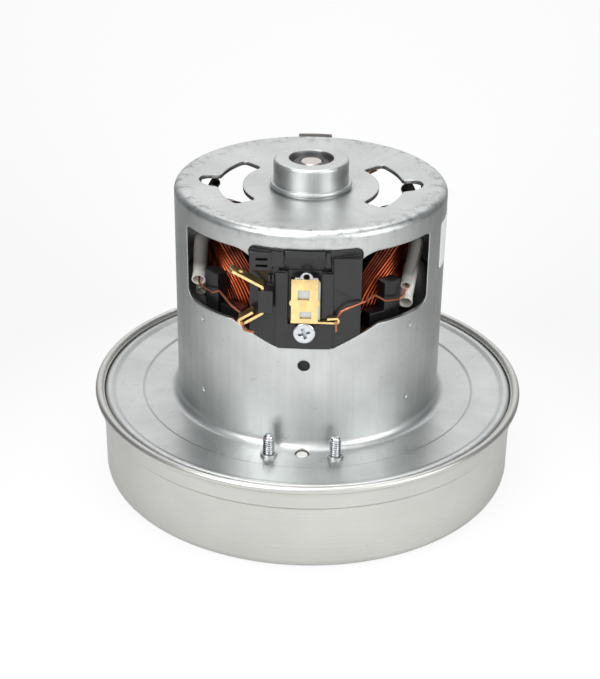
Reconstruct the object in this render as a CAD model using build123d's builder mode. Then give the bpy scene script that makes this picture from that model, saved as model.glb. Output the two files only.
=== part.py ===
from build123d import *
import os
from math import atan2, cos, pi, radians, sin, sqrt

os.makedirs("parts", exist_ok=True)

# Motor unit of a vacuum cleaner: a two stage casing of pressed steel, with a universal motor in the can
# above and its fan below. The Z axis is the motor axis and z = 0 is the underside of the fan cover.
# The brush gear is at the front (-Y) and again at the rear, and the field poles are left and right.

# Gaps between pieces
press_gap = 0.03            # between pieces pressed together
running_gap = 0.05          # shaft, brush or screw in its bore
loose_gap = 0.2             # a moulding in its opening
overrun = 1.0               # a cut runs past its surface

# Fan cover
cover_sheet = 0.8
cover_r = 64.85
cover_corner_r = 3.5
cover_step_z = 21.0
cover_step_h = 0.8
cover_flare = 0.7           # the mouth stands out past the wall
bead_reach = 1.95           # the bead stands out past the mouth
bead_roll_r = 1.2
bead_z = 28.3
inlet_r = 18.5
inlet_lip_h = 4.2
inlet_edge_r = 1.6

# Motor housing
housing_sheet = 1.2
housing_r = 41.14
flange_z = 27.0             # upper face beside the can
flange_foot_r = 3.0
flange_step_reach = 10.86   # from the can to the step in the flange
flange_step_h = 0.5
flange_step_w = 0.7
rim_z = 28.4
rim_corner_r = 1.6
rim_w = 2.2                 # flat top of the rim
ramp_w = 1.4                # slope from the rim down to the flange
skirt_seat_gap = 0.6
crest_z = 96.4              # top corner of the can, before its rounding
shoulder_r = 2.4
dish_r = 28.0
dish_z = 95.0
boss_r = 11.33
boss_foot_z = 94.4
boss_foot_r = 0.4
boss_ring_r = 12.35         # rounded ring at the boss's foot
boss_ring_low_z = 94.9
boss_ring_high_z = 96.2
boss_ring_round = 0.7
boss_z = 103.2
boss_edge_r = 1.0
boss_hole_r = 6.8

# Side windows of the housing, seen square on
window_half_w = 35.2
window_top_z = 89.3
window_side_z = 66.2        # lower edge beside the holder
window_low_z = 60.2         # lowest edge, under the holder
window_kink_x = 21.1
window_low_half_w = 8.5
window_low_corner_r = 3.0
window_top_corner_r = 1.2
window_cusp_z = 87.5
window_cusp_reach = 5.1
seat_half_w = 16.1          # opening that the brush holder fills
seat_top_z = 91.0
seat_corner_r = 2.0

# Vents in the top disc
vent_inner_r = 20.5
vent_outer_r = 28.0
vent_half_angle = 40.5
vent_corner_r = 1.6
vent_lobe_r = 4.6
vent_lobe_x = 29.2

# Small holes in the housing
wall_hole_r = 1.8
wall_hole_z = 54.66
stake_angle = 47.5          # from the front, for the dimples that hold the field core
stake_z_gap = 0.8           # dimple centre past the end of the core
stake_r = 0.8
stake_depth = 0.35

# Screws through the flange and the locating pegs between them
diffuser_screw_x = 9.75
diffuser_screw_reach = 4.26  # from the can to the screws, square to the windows
diffuser_screw_r = 1.75
diffuser_screw_rise = 6.8   # above the flange
diffuser_head_r = 3.2
diffuser_head_h = 1.9
collar_wall = 0.6           # extruded collar round each screw
collar_h = 0.8
peg_reach = 3.26
peg_r = 1.8
peg_hole_r = 2.1
peg_round = 0.5

# Earth tab on the rear shoulder
tab_w = 10.7
tab_sheet = 0.8
tab_low_z = 91.2
tab_high_z = 96.2

# Shaft, from its lower end up
shaft_low_z = 5.6
shaft_thread_r = 3.0
shaft_seat_r = 4.0
shaft_core_r = 4.5
shaft_top_r = 3.5
shaft_top_z = 102.2
shaft_chamfer = 0.5

# Bearings
upper_bearing_r = 9.5
upper_bearing_w = 6.0
lower_bearing_r = 11.0
lower_bearing_w = 7.0
inner_ring_wall = 1.9
outer_ring_wall = 1.6
shield_w = 0.5
shield_gap = 0.3

# Bearing bracket under the flange
bracket_sheet = 1.2
bracket_margin = 4.6        # outside the screws
bracket_lip_r = 8.0
bracket_vent_inner_gap = 3.8
bracket_vent_outer_gap = 12.0
bracket_arm_half_angle = 14.0
bracket_vent_middle = 45.0
bracket_vent_corner_r = 2.0

# Impeller
impeller_inset = 9.85       # from the cover's wall
impeller_sheet = 0.8
impeller_back_z = 14.0      # underside of the back plate
impeller_eye_r = 20.3
impeller_collar_low_z = 1.9
impeller_collar_high_z = 3.8
impeller_mouth_h = 6.0      # clear height at the outer edge
blade_count = 9
blade_sheet = 0.9
blade_inner_r = 21.8
blade_inset = 0.8
blade_sweep = 62.0          # degrees that a blade turns back from its inner to its outer end
blade_bow_share = 0.5
blade_mid_angle_share = 0.62
spacer_r = 6.0
washer_r = 9.0
washer_h = 0.8
nut_h = 5.0
nut_across_flats = 10.0

# Diffuser
diffuser_plate = 1.6
diffuser_plate_gap = 1.4    # above the impeller
diffuser_plate_inset = 6.35
diffuser_hole_gap = 0.8
diffuser_vane_inset = 1.65
diffuser_vane_sheet = 1.2
diffuser_vane_count = 12
return_vane_inner_r = 26.0
return_vane_top_gap = 0.1
outer_vane_overlap = 2.2    # onto the plate
outer_vane_low_z = 6.5
vane_sweep = 38.0
outer_vane_sweep = 9.0
diffuser_boss_r = 4.4

# Field core
core_low_z = 39.3
core_high_z = 61.7
yoke_inner_r = 33.5
pole_half_w = 9.0
shoe_outer_r = 24.4
bore_r = 21.2
shoe_half_angle = 60.0

# Field coils: a shaped core of inner layers and one outer layer of turns
coil_inner_r = 25.4
coil_layer_r = 31.3         # middle of the wire in the outer layer
coil_turn_count = 9
coil_wire_r = 0.36
coil_outer_angle = 62.0     # outermost leg, from the pole's middle
coil_leg_pitch = 1.9
coil_top_high_z = 86.0
coil_top_pitch = 2.2
coil_low_low_z = 27.2
coil_low_pitch = 1.2
coil_leg_low_z = 46.0
coil_leg_high_z = 60.6
coil_layer_gap = 0.1
coil_sag = 1.3              # how far a bend cuts inside the round of the legs
coil_edge = 0.5             # how far the inner layers stand back from the outer turn
coil_neck_gap = 1.3
gap_step = 0.5
gap_reach = 20.0            # length of wire within which a turn isn't its own neighbour

# End insulators
insulator_plate = 1.2
insulator_step = 0.3        # plate edge inside the core's edge
post_inner_r = 33.6
post_outer_r = 37.2
post_left_angle = 49.0
post_right_angle = 42.5
post_half_angle = 4.8
post_top_z = 76.2
post_corner_r = 0.8
collar_wall_angle = 36.0
collar_wall_half_angle = 6.0
collar_wall_z = 67.6
screw_boss_half_w = 4.2
screw_boss_inner_h = 30.5
screw_boss_outer_h = 36.9

# Armature and commutator
armature_r = 20.6
armature_low_z = 39.8
armature_high_z = 61.2
slot_count = 22
slot_half_w = 1.2
slot_mouth_half_w = 0.6
slot_bottom_r = 12.0
slot_top_r = 18.8
winding_r = 19.2
winding_inner_r = 6.5
winding_high_h = 6.4
winding_low_h = 8.0
winding_round = 2.6
commutator_r = 11.75
commutator_low_z = 68.2
commutator_high_z = 82.8
commutator_hub_r = 8.4
commutator_hub_over = 1.2
riser_r = 13.0
riser_h = 1.4
bar_slot_half_w = 0.25
bar_slot_depth = 1.3

# Brush gear, in a plane square to its own radius: x across, z up, h outwards from the axis
brush_z = 75.5
brush_half_w = 3.15
brush_half_h = 5.5
brush_outer_h = 30.0
brush_travel = 5.0
tube_sheet = 0.7
tube_inner_h = 13.5
tube_outer_h = 41.5
clip_sheet = 0.8
clip_half_w = 3.95
clip_shift = 0.45
clip_shoulder_w = 0.8
clip_shoulder_low_z = 81.5
clip_shoulder_high_z = 83.0
clip_top_z = 84.6
clip_round_r = 1.9
eyelet_r = 0.9
eyelet_z = 83.3
flap_half_w = 3.8
flap_top_z = 82.6
flap_lean = 0.45            # the band along the flap's top leans back
flap_lean_h = 1.3
flap_window_half_w = 1.6
flap_upper_window_z = 78.0
flap_upper_window_half_h = 1.5
flap_lower_window_z = 71.8
flap_lower_window_half_h = 1.1
flap_window_shift = 0.3
flap_bulge = 0.5            # rounded swelling at half height of the flap's sides
flap_bulge_half_h = 2.2
hook_sheet = 0.6
hook_root_x = 3.4
hook_reach_x = 10.0
hook_rise = 2.1
hook_round = 0.95
hook_back = 3.6
hook_droop = 0.4
hook_inner_h = 41.7
spring_r = 2.6
spring_wall = 0.7

# Brush holder
holder_gap = 0.2
holder_back_r = 37.4
holder_front_r = 41.0
holder_side_half_w = 15.7
panel_left_x = 8.3
panel_right_x = 8.0
panel_top_z = 84.0
panel_h = 41.4
panel_chamfer = 0.7
pocket_half_w = 4.8
pocket_h = 39.6
recess_low_z = 84.2
recess_top_z = 88.8
recess_half_w = 7.4
recess_h = 39.0
bridge_half_w = 5.6
bridge_h = 42.0
bridge_low_z = 88.8
block_h = 41.0
block_low_z = 84.4
block_top_z = 88.6
left_block_top_z = 89.8
right_block_low_inner_z = 79.3
right_block_low_outer_z = 76.2
holder_edge = 0.3
pad_inner_x = 6.0
pad_outer_x = 9.4
pad_low_z = 85.9
pad_high_z = 90.4
pad_h = 41.6
tab_inner_x = 5.8
tab_outer_x = 7.1
bar_x_low = 8.7
bar_w = 0.6
bar_pitch = 1.1
bar_low_z = 80.9
bar_high_z = 83.2
bar_h = 41.1
slot_depth = 1.6
slot_x_low = 10.6
slot_x_high = 13.9
slot_upper_z = 87.4
slot_lower_z = 85.4
slot_h = 0.8
channel_wall = 0.9
channel_inner_h = 27.0
rib_left_x = 13.0
rib_right_x = 8.9
rib_low_z = 72.9
rib_high_z = 79.6
rib_front_wall = 0.6

# Spade terminal, a strip seen edge on in the plane of the brush gear
terminal_sheet = 0.8
terminal_inner_h = 39.8
terminal_outer_h = 43.8
terminal_gap = 0.1
terminal_x = 11.4
terminal_spade_x = 21.0
terminal_spade_z = 85.9
terminal_spade_root_z = 80.7
terminal_hook_x = 18.0
terminal_hook_z = 68.0
terminal_hook_root_z = 72.2
terminal_fold = 2.4
terminal_fold_back = 5.4
terminal_fold_r = 1.1
terminal_bend_r = 1.2
terminal_chamfer = 1.0
terminal_hole_r = 0.8
terminal_hole_reach = 3.4

# Holder screw
holder_screw_z = 65.9
holder_screw_r = 1.5
holder_screw_head_r = 3.25
holder_screw_head_h = 1.5
holder_screw_inner_h = 31.5
holder_head_round = 0.6
recess_cross_half_w = 0.45
recess_cross_reach = 1.7
recess_cross_depth = 0.8
recess_cross_turn = 17.0

# Sleeves and leads of the field coils
sleeve_r = 2.1
small_sleeve_r = 1.6
sleeve_wall = 0.4
lead_r = 0.33
sleeve_bend_r = 2.6
lead_bend_r = 0.7

# Routes at the front: x across, y back from the front, z up
left_sleeve_route = (
    (-32.2, -20.6, 71.6),
    (-32.1, -18.0, 72.7),
    (-31.4, -19.2, 83.5),
    (-29.6, -16.6, 88.0),
)
left_short_sleeve_route = (
    (-32.1, -14.8, 65.3),
    (-32.2, -12.6, 66.2),
    (-32.0, -12.2, 80.0),
    (-31.7, -11.3, 84.0),
)
right_sleeve_route = (
    (29.2, -21.0, 66.3),
    (29.3, -18.3, 67.3),
    (31.9, -15.4, 84.0),
    (31.1, -13.6, 86.5),
)
right_short_sleeve_route = (
    (28.9, -25.0, 73.7),
    (29.2, -22.8, 74.8),
    (31.6, -19.2, 85.5),
    (30.5, -17.0, 88.0),
)
left_lead_route = (
    (-32.1, -18.6, 72.3),
    (-32.0, -21.3, 71.0),
    (-30.4, -23.0, 70.3),
    (-27.2, -28.3, 71.2),
    (-25.2, -30.3, 72.8),
    (-21.4, -35.7, 70.9),
    (-18.9, -38.0, 70.0),
    (-17.63, -39.3, 69.66),
    (-17.63, -44.4, 69.66),
    (-16.9, -44.5, 67.4),
    (-14.2, -44.2, 66.6),
)
right_lead_route = (
    (29.2, -23.4, 74.3),
    (28.9, -25.8, 73.2),
    (28.3, -26.2, 71.0),
    (26.9, -27.6, 70.5),
    (23.0, -31.9, 71.9),
    (19.9, -34.5, 74.8),
    (16.9, -38.4, 74.5),
    (12.7, -40.9, 73.7),
    (10.3, -41.1, 72.4),
    (9.1, -41.3, 70.4),
    (9.0, -43.6, 70.1),
    (9.1, -43.8, 67.4),
)

# Places worked out from the sizes above
cover_mouth_r = cover_r + cover_flare
bead_r = cover_mouth_r + bead_reach
flange_step_r = housing_r + flange_step_reach
diffuser_screw_y = housing_r + diffuser_screw_reach
peg_y = housing_r + peg_reach
bracket_r = diffuser_screw_y + bracket_margin
impeller_r = cover_r - impeller_inset
diffuser_plate_r = cover_r - diffuser_plate_inset
diffuser_vane_r = cover_r - diffuser_vane_inset
outer_vane_inner_r = diffuser_plate_r - outer_vane_overlap
housing_inner_r = housing_r - housing_sheet
flange_low_z = flange_z - housing_sheet
boss_inner_r = boss_r - housing_sheet
rim_r = cover_mouth_r - cover_sheet - press_gap
skirt_z = cover_step_z + cover_step_h + skirt_seat_gap
bearing_top_z = boss_z - housing_sheet
upper_bearing_z = bearing_top_z - upper_bearing_w
bracket_top_z = flange_low_z
lower_bearing_z = bracket_top_z - lower_bearing_w
bracket_cup_r = lower_bearing_r + press_gap + bracket_sheet
bracket_low_z = lower_bearing_z - bracket_sheet
bracket_vent_inner_r = bracket_cup_r + bracket_vent_inner_gap
bracket_vent_outer_r = bracket_r - bracket_vent_outer_gap
impeller_top_z = impeller_back_z + impeller_sheet
diffuser_low_z = impeller_top_z + diffuser_plate_gap
diffuser_high_z = diffuser_low_z + diffuser_plate
diffuser_top_z = bracket_top_z - bracket_sheet
diffuser_hole_r = bracket_cup_r + diffuser_hole_gap
brush_low_z = brush_z - brush_half_h - running_gap
brush_high_z = brush_z + brush_half_h + running_gap
tube_half_w = brush_half_w + running_gap + tube_sheet
tube_low_z = brush_low_z - tube_sheet
tube_high_z = brush_high_z + tube_sheet
clip_outer_h = tube_outer_h + clip_sheet
flap_outer_h = clip_outer_h + tube_sheet
channel_half_w = tube_half_w + loose_gap + channel_wall
channel_low_z = tube_low_z - loose_gap - channel_wall
channel_high_z = tube_high_z + loose_gap + channel_wall
tube_opening = (tube_low_z - loose_gap, tube_high_z + loose_gap)
screw_boss_top_z = channel_low_z - loose_gap


def side_plane(turn, height=0):
    """Plane square to a radius, at a height along it: its x runs across, its y up the motor axis."""
    angle = radians(turn)
    plane = Plane(origin=(0, 0, 0), x_dir=(cos(angle), sin(angle), 0), z_dir=(sin(angle), -cos(angle), 0))
    return plane.offset(height)


def section(inner_r, outer_r, low_z, high_z):
    """Rectangle of a ring's section, between two radii and two heights."""
    with Locations(((inner_r + outer_r) / 2, (low_z + high_z) / 2)):
        Rectangle(outer_r - inner_r, high_z - low_z)


def ring_sector(inner_r, outer_r, middle, half_angle):
    """Sector of a flat ring about the motor axis."""
    with BuildSketch() as sector:
        with BuildLine():
            outside = CenterArc((0, 0), outer_r, middle - half_angle, 2 * half_angle)
            inside = CenterArc((0, 0), inner_r, middle - half_angle, 2 * half_angle)
            Line(outside @ 0, inside @ 0)
            Line(outside @ 1, inside @ 1)
        make_face()
    return sector.sketch


def polar(radius, angle):
    """Flat point at a radius and an angle in degrees."""
    return (radius * cos(radians(angle)), radius * sin(radians(angle)))


def curved_vane(inner, middle, outer, sheet):
    """Plan of a bent vane, an arc through three polar points, as wide as its sheet."""
    with BuildSketch() as vane:
        with BuildLine() as line:
            ThreePointArc(polar(*inner), polar(*middle), polar(*outer))
        trace(line.line, line_width=sheet)
    return vane.sketch


def finish(part, label):
    """Name a finished piece and write it."""
    part.label = label
    export_step(part, f"parts/{label}.step")
    print(f"{label}: {len(part.solids())} solid(s), {part.volume:.1f} mm3", flush=True)
    return part


# Fan cover: one sheet from the turned-in inlet lip to the rolled bead
with BuildPart() as fan_cover:
    with BuildSketch(Plane.XZ):
        with BuildLine():
            FilletPolyline(
                (inlet_r, inlet_lip_h),
                (inlet_r, 0),
                (cover_r, 0),
                (cover_r, cover_step_z),
                (cover_mouth_r, cover_step_z + cover_step_h),
                (cover_mouth_r, bead_z),
                radius=[inlet_edge_r, cover_corner_r, 0, 0],
            )
            offset(amount=cover_sheet, side=Side.LEFT)
        make_face()
        with Locations((bead_r - bead_roll_r, bead_z)):
            Circle(bead_roll_r)
    revolve(axis=Axis.Z)
finish(fan_cover.part, "fan_cover")

# Motor housing: skirt, rim, flange, can, dished top and bearing boss from one sheet
with BuildPart() as motor_housing:
    ramp_high_r = rim_r - rim_w
    with BuildSketch(Plane.XZ):
        with BuildLine():
            FilletPolyline(
                (rim_r, skirt_z),
                (rim_r, rim_z),
                (ramp_high_r, rim_z),
                (ramp_high_r - ramp_w, flange_z + flange_step_h),
                (flange_step_r + flange_step_w, flange_z + flange_step_h),
                (flange_step_r, flange_z),
                (housing_r, flange_z),
                (housing_r, crest_z),
                (dish_r, dish_z),
                (boss_r, boss_foot_z),
                (boss_r, boss_z),
                (boss_hole_r, boss_z),
                radius=[rim_corner_r, 0, 0, 0, 0, flange_foot_r, shoulder_r, 0, boss_foot_r, 0],
            )
            offset(amount=housing_sheet, side=Side.LEFT)
        make_face()
        ring_root_r = boss_r - housing_sheet / 2
        section(ring_root_r, (boss_r + boss_ring_r) / 2, boss_foot_z - housing_sheet / 2, boss_ring_high_z)
        with BuildSketch(Plane.XZ, mode=Mode.PRIVATE) as boss_ring:
            section(boss_r, boss_ring_r, boss_ring_low_z, boss_ring_high_z)
            fillet(boss_ring.vertices().sort_by(Axis.X)[-2:], radius=boss_ring_round / 2)
        add(boss_ring.sketch)
    revolve(axis=Axis.Z)
    boss_rim = motor_housing.edges().filter_by(GeomType.CIRCLE).group_by(Axis.Z)[-1].sort_by(SortBy.RADIUS)[-1]
    fillet(boss_rim, radius=boss_edge_r)

    # Windows at the front and the rear, in one cut
    with BuildSketch(Plane.XZ) as window_sketch:
        with BuildLine():
            kink = (window_kink_x, window_side_z)
            cusp = (seat_half_w, window_cusp_z)
            crown = (seat_half_w + window_cusp_reach, window_top_z)
            cusp_rise = window_top_z - window_cusp_z
            crown_r = (window_cusp_reach**2 + cusp_rise**2) / (2 * cusp_rise)
            RadiusArc(cusp, crown, crown_r)
            FilletPolyline(
                crown,
                (window_half_w, window_top_z),
                (window_half_w, window_side_z),
                kink,
                radius=[window_top_corner_r, window_low_corner_r],
            )
            Polyline(kink, (window_low_half_w, window_low_z), (0, window_low_z))
            Line((0, window_low_z), (0, window_cusp_z))
            Line((0, window_cusp_z), cusp)
        make_face()
        mirror(about=Plane.YZ)
    extrude(amount=rim_r, both=True, mode=Mode.SUBTRACT)
    with BuildSketch(Plane.XZ):
        with Locations((0, (window_side_z + seat_top_z) / 2)):
            RectangleRounded(2 * seat_half_w, seat_top_z - window_side_z, seat_corner_r)
    extrude(amount=rim_r, both=True, mode=Mode.SUBTRACT)

    # Vents in the top disc, each a ring sector with a round lobe outwards
    with BuildSketch(Plane.XY.offset(boss_foot_z - 2 * housing_sheet)) as vent_sketch:
        for middle in (0, 180):
            add(ring_sector(vent_inner_r, vent_outer_r, middle, vent_half_angle))
        with Locations((vent_lobe_x, 0), (-vent_lobe_x, 0)):
            Circle(vent_lobe_r)
        fillet(vent_sketch.vertices(), radius=vent_corner_r)
    extrude(amount=4 * housing_sheet, mode=Mode.SUBTRACT)

    # Extruded collars for the screws, then every small hole
    with BuildSketch(Plane.XY.offset(flange_z)):
        with GridLocations(2 * diffuser_screw_x, 2 * diffuser_screw_y, 2, 2):
            Circle(diffuser_screw_r + running_gap + collar_wall)
    extrude(amount=collar_h)
    with BuildSketch(Plane.XY.offset(flange_low_z - overrun)):
        with GridLocations(2 * diffuser_screw_x, 2 * diffuser_screw_y, 2, 2):
            Circle(diffuser_screw_r + running_gap)
        with GridLocations(0, 2 * peg_y, 1, 2):
            Circle(peg_hole_r)
    extrude(amount=housing_sheet + collar_h + 2 * overrun, mode=Mode.SUBTRACT)
    with BuildSketch(Plane.XZ):
        with Locations((0, wall_hole_z)):
            Circle(wall_hole_r)
    extrude(amount=rim_r, both=True, mode=Mode.SUBTRACT)
    for turn in (-stake_angle, stake_angle, 180 - stake_angle, 180 + stake_angle):
        with BuildSketch(side_plane(turn, housing_r - stake_depth)):
            with Locations((0, core_high_z + stake_z_gap), (0, core_low_z - stake_z_gap)):
                Circle(stake_r)
        extrude(amount=overrun, mode=Mode.SUBTRACT)
finish(motor_housing.part, "motor_housing")

# Earth tab, curved to the can and welded under the rear shoulder
with BuildPart() as earth_tab:
    with BuildSketch(Plane.XY.offset(tab_low_z)):
        Circle(housing_r + press_gap + tab_sheet)
        Circle(housing_r + press_gap, mode=Mode.SUBTRACT)
        with Locations((0, housing_r)):
            Rectangle(tab_w, housing_r, mode=Mode.INTERSECT)
    extrude(amount=tab_high_z - tab_low_z)
finish(earth_tab.part, "earth_tab")

# Shaft
with BuildPart() as shaft:
    for low_z, high_z, radius in (
        (shaft_low_z, lower_bearing_z, shaft_thread_r),
        (lower_bearing_z, bracket_top_z, shaft_seat_r),
        (bracket_top_z, upper_bearing_z, shaft_core_r),
        (upper_bearing_z, shaft_top_z, shaft_top_r),
    ):
        with BuildSketch(Plane.XY.offset(low_z)):
            Circle(radius)
        extrude(amount=high_z - low_z)
    chamfer(shaft.edges().group_by(Axis.Z)[0], length=shaft_chamfer)
    chamfer(shaft.edges().group_by(Axis.Z)[-1], length=shaft_chamfer)
finish(shaft.part, "shaft")

# Shielded ball bearings: the balls stay behind the shields and aren't modelled
for name, low_z, width, outer_r, seat_r in (
    ("upper", upper_bearing_z, upper_bearing_w, upper_bearing_r, shaft_top_r),
    ("lower", lower_bearing_z, lower_bearing_w, lower_bearing_r, shaft_seat_r),
):
    inner_ring_r = seat_r + press_gap + inner_ring_wall
    with BuildPart() as outer_ring:
        with BuildSketch(Plane.XZ):
            section(outer_r - outer_ring_wall, outer_r, low_z, low_z + width)
            section(inner_ring_r + shield_gap, outer_r, low_z, low_z + shield_w)
            section(inner_ring_r + shield_gap, outer_r, low_z + width - shield_w, low_z + width)
        revolve(axis=Axis.Z)
    finish(outer_ring.part, f"{name}_bearing_outer_ring")
    with BuildPart() as inner_ring:
        with BuildSketch(Plane.XZ):
            section(seat_r + press_gap, inner_ring_r, low_z, low_z + width)
        revolve(axis=Axis.Z)
    finish(inner_ring.part, f"{name}_bearing_inner_ring")

# Damping sleeve between the boss and the upper bearing
with BuildPart() as bearing_sleeve:
    with BuildSketch(Plane.XZ):
        section(upper_bearing_r + press_gap, boss_inner_r - press_gap, upper_bearing_z, bearing_top_z)
    revolve(axis=Axis.Z)
finish(bearing_sleeve.part, "upper_bearing_sleeve")

# Bearing bracket: a plate under the flange with the cup of the lower bearing
with BuildPart() as bearing_bracket:
    with BuildSketch(Plane.XZ):
        with BuildLine():
            Polyline(
                (bracket_r, bracket_top_z),
                (lower_bearing_r + press_gap, bracket_top_z),
                (lower_bearing_r + press_gap, lower_bearing_z),
                (bracket_lip_r, lower_bearing_z),
            )
            offset(amount=bracket_sheet, side=Side.LEFT)
        make_face()
    revolve(axis=Axis.Z)
    with BuildSketch(Plane.XY.offset(bracket_top_z)) as bracket_cut:
        for turn in (0, 90, 180, 270):
            middle = turn + bracket_vent_middle
            half_angle = bracket_vent_middle - bracket_arm_half_angle
            add(ring_sector(bracket_vent_inner_r, bracket_vent_outer_r, middle, half_angle))
        fillet(bracket_cut.vertices(), radius=bracket_vent_corner_r)
        with GridLocations(2 * diffuser_screw_x, 2 * diffuser_screw_y, 2, 2):
            Circle(diffuser_screw_r + running_gap)
        with GridLocations(0, 2 * peg_y, 1, 2):
            Circle(peg_hole_r)
    extrude(amount=-bracket_sheet, mode=Mode.SUBTRACT)
finish(bearing_bracket.part, "bearing_bracket")

# Impeller: a flat back plate, a coned front plate with the eye, and the curved blades between them
with BuildPart() as back_plate:
    with BuildSketch(Plane.XY.offset(impeller_back_z)):
        Circle(impeller_r)
        Circle(shaft_thread_r + press_gap, mode=Mode.SUBTRACT)
    extrude(amount=impeller_sheet)
finish(back_plate.part, "impeller_back_plate")

cone_low_z = impeller_collar_high_z
cone_high_z = impeller_back_z - impeller_mouth_h
with BuildPart() as front_plate:
    with BuildSketch(Plane.XZ):
        with BuildLine():
            Polyline(
                (impeller_eye_r, impeller_collar_low_z),
                (impeller_eye_r, cone_low_z),
                (impeller_r, cone_high_z),
            )
            offset(amount=impeller_sheet, side=Side.RIGHT)
        make_face()
    revolve(axis=Axis.Z)
finish(front_plate.part, "impeller_front_plate")

with BuildPart() as blades:
    blade_outer_r = impeller_r - blade_inset
    blade_mid_r = blade_inner_r + blade_bow_share * (blade_outer_r - blade_inner_r)
    with BuildSketch(Plane.XY.offset(cone_low_z)):
        for blade in range(blade_count):
            turn = 360 * blade / blade_count
            outline = curved_vane(
                (blade_inner_r, turn),
                (blade_mid_r, turn - blade_mid_angle_share * blade_sweep),
                (blade_outer_r, turn - blade_sweep),
                blade_sheet,
            )
            add(outline)
    extrude(amount=impeller_back_z - cone_low_z)
    with BuildSketch(Plane.XZ):
        with BuildLine():
            Polyline(
                (impeller_eye_r, cone_low_z + press_gap),
                (impeller_r, cone_high_z + press_gap),
                (impeller_r, impeller_back_z),
                (impeller_eye_r, impeller_back_z),
                close=True,
            )
        make_face()
    revolve(axis=Axis.Z, mode=Mode.INTERSECT)
finish(blades.part, "impeller_blades")

for name, low_z, height, radius in (
    ("impeller_spacer", impeller_top_z, lower_bearing_z - impeller_top_z, spacer_r),
    ("impeller_washer", impeller_back_z - washer_h, washer_h, washer_r),
):
    with BuildPart() as ring:
        with BuildSketch(Plane.XY.offset(low_z)):
            Circle(radius)
            Circle(shaft_thread_r + press_gap, mode=Mode.SUBTRACT)
        extrude(amount=height)
    finish(ring.part, name)

with BuildPart() as nut:
    with BuildSketch(Plane.XY.offset(impeller_back_z - washer_h - nut_h)):
        RegularPolygon(nut_across_flats / 2, 6, major_radius=False)
        Circle(shaft_thread_r + press_gap, mode=Mode.SUBTRACT)
    extrude(amount=nut_h)
finish(nut.part, "impeller_nut")

# Diffuser: a plate over the impeller, vanes round its edge, return vanes on top, pegs and screw bosses
with BuildPart() as diffuser:
    with BuildSketch(Plane.XY.offset(diffuser_low_z)):
        Circle(diffuser_plate_r)
    extrude(amount=diffuser_plate)
    with BuildSketch(Plane.XY.offset(outer_vane_low_z)):
        for vane in range(diffuser_vane_count):
            turn = 360 * (vane + 1 / 2) / diffuser_vane_count
            outline = curved_vane(
                (outer_vane_inner_r, turn),
                ((outer_vane_inner_r + diffuser_vane_r) / 2, turn - outer_vane_sweep / 3),
                (diffuser_vane_r - diffuser_vane_sheet / 2, turn - outer_vane_sweep),
                diffuser_vane_sheet,
            )
            add(outline)
    extrude(amount=diffuser_top_z - return_vane_top_gap - outer_vane_low_z)
    with BuildSketch(Plane.XY.offset(diffuser_high_z)):
        for vane in range(diffuser_vane_count):
            turn = 360 * (vane + 1 / 2) / diffuser_vane_count
            outline = curved_vane(
                (return_vane_inner_r, turn + vane_sweep),
                ((return_vane_inner_r + diffuser_plate_r) / 2, turn + vane_sweep / 4),
                (diffuser_plate_r, turn),
                diffuser_vane_sheet,
            )
            add(outline)
        with GridLocations(2 * diffuser_screw_x, 2 * diffuser_screw_y, 2, 2):
            Circle(diffuser_boss_r)
    extrude(amount=diffuser_top_z - return_vane_top_gap - diffuser_high_z)
    with BuildSketch(Plane.XY.offset(diffuser_high_z)):
        with GridLocations(0, 2 * peg_y, 1, 2):
            Circle(peg_r)
    extrude(amount=flange_z - diffuser_high_z)
    fillet(diffuser.edges().group_by(Axis.Z)[-1], radius=peg_round)
    with BuildSketch(Plane.XY.offset(diffuser_low_z)):
        Circle(diffuser_hole_r)
        with GridLocations(2 * diffuser_screw_x, 2 * diffuser_screw_y, 2, 2):
            Circle(diffuser_screw_r + running_gap)
    extrude(amount=diffuser_top_z - diffuser_low_z + overrun, mode=Mode.SUBTRACT)
    with BuildSketch(Plane.XY.offset(diffuser_low_z)):
        with GridLocations(2 * diffuser_screw_x, 2 * diffuser_screw_y, 2, 2):
            Circle(diffuser_head_r + running_gap)
    extrude(amount=diffuser_head_h + running_gap, mode=Mode.SUBTRACT)
finish(diffuser.part, "diffuser")

# Screws from below, through the diffuser, the bracket and the flange
with BuildPart() as diffuser_screws:
    with BuildSketch(Plane.XY.offset(diffuser_low_z + running_gap)):
        with GridLocations(2 * diffuser_screw_x, 2 * diffuser_screw_y, 2, 2):
            Circle(diffuser_head_r)
    extrude(amount=diffuser_head_h)
    with BuildSketch(Plane.XY.offset(diffuser_low_z + running_gap)):
        with GridLocations(2 * diffuser_screw_x, 2 * diffuser_screw_y, 2, 2):
            Circle(diffuser_screw_r)
    extrude(amount=flange_z + diffuser_screw_rise - diffuser_low_z - running_gap)
    chamfer(diffuser_screws.edges().group_by(Axis.Z)[-1], length=shaft_chamfer)
finish(diffuser_screws.part, "diffuser_screws")

# Field core: a laminated ring with a pole and its shoe on each side
core_r = housing_inner_r - press_gap
with BuildPart() as stator_core:
    with BuildSketch(Plane.XY.offset(core_low_z)):
        Circle(core_r)
        Circle(yoke_inner_r, mode=Mode.SUBTRACT)
        Rectangle(2 * (yoke_inner_r + overrun), 2 * pole_half_w)
        for middle in (0, 180):
            add(ring_sector(bore_r, shoe_outer_r, middle, shoe_half_angle))
        Circle(bore_r, mode=Mode.SUBTRACT)
    extrude(amount=core_high_z - core_low_z)
finish(stator_core.part, "stator_core")

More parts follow.
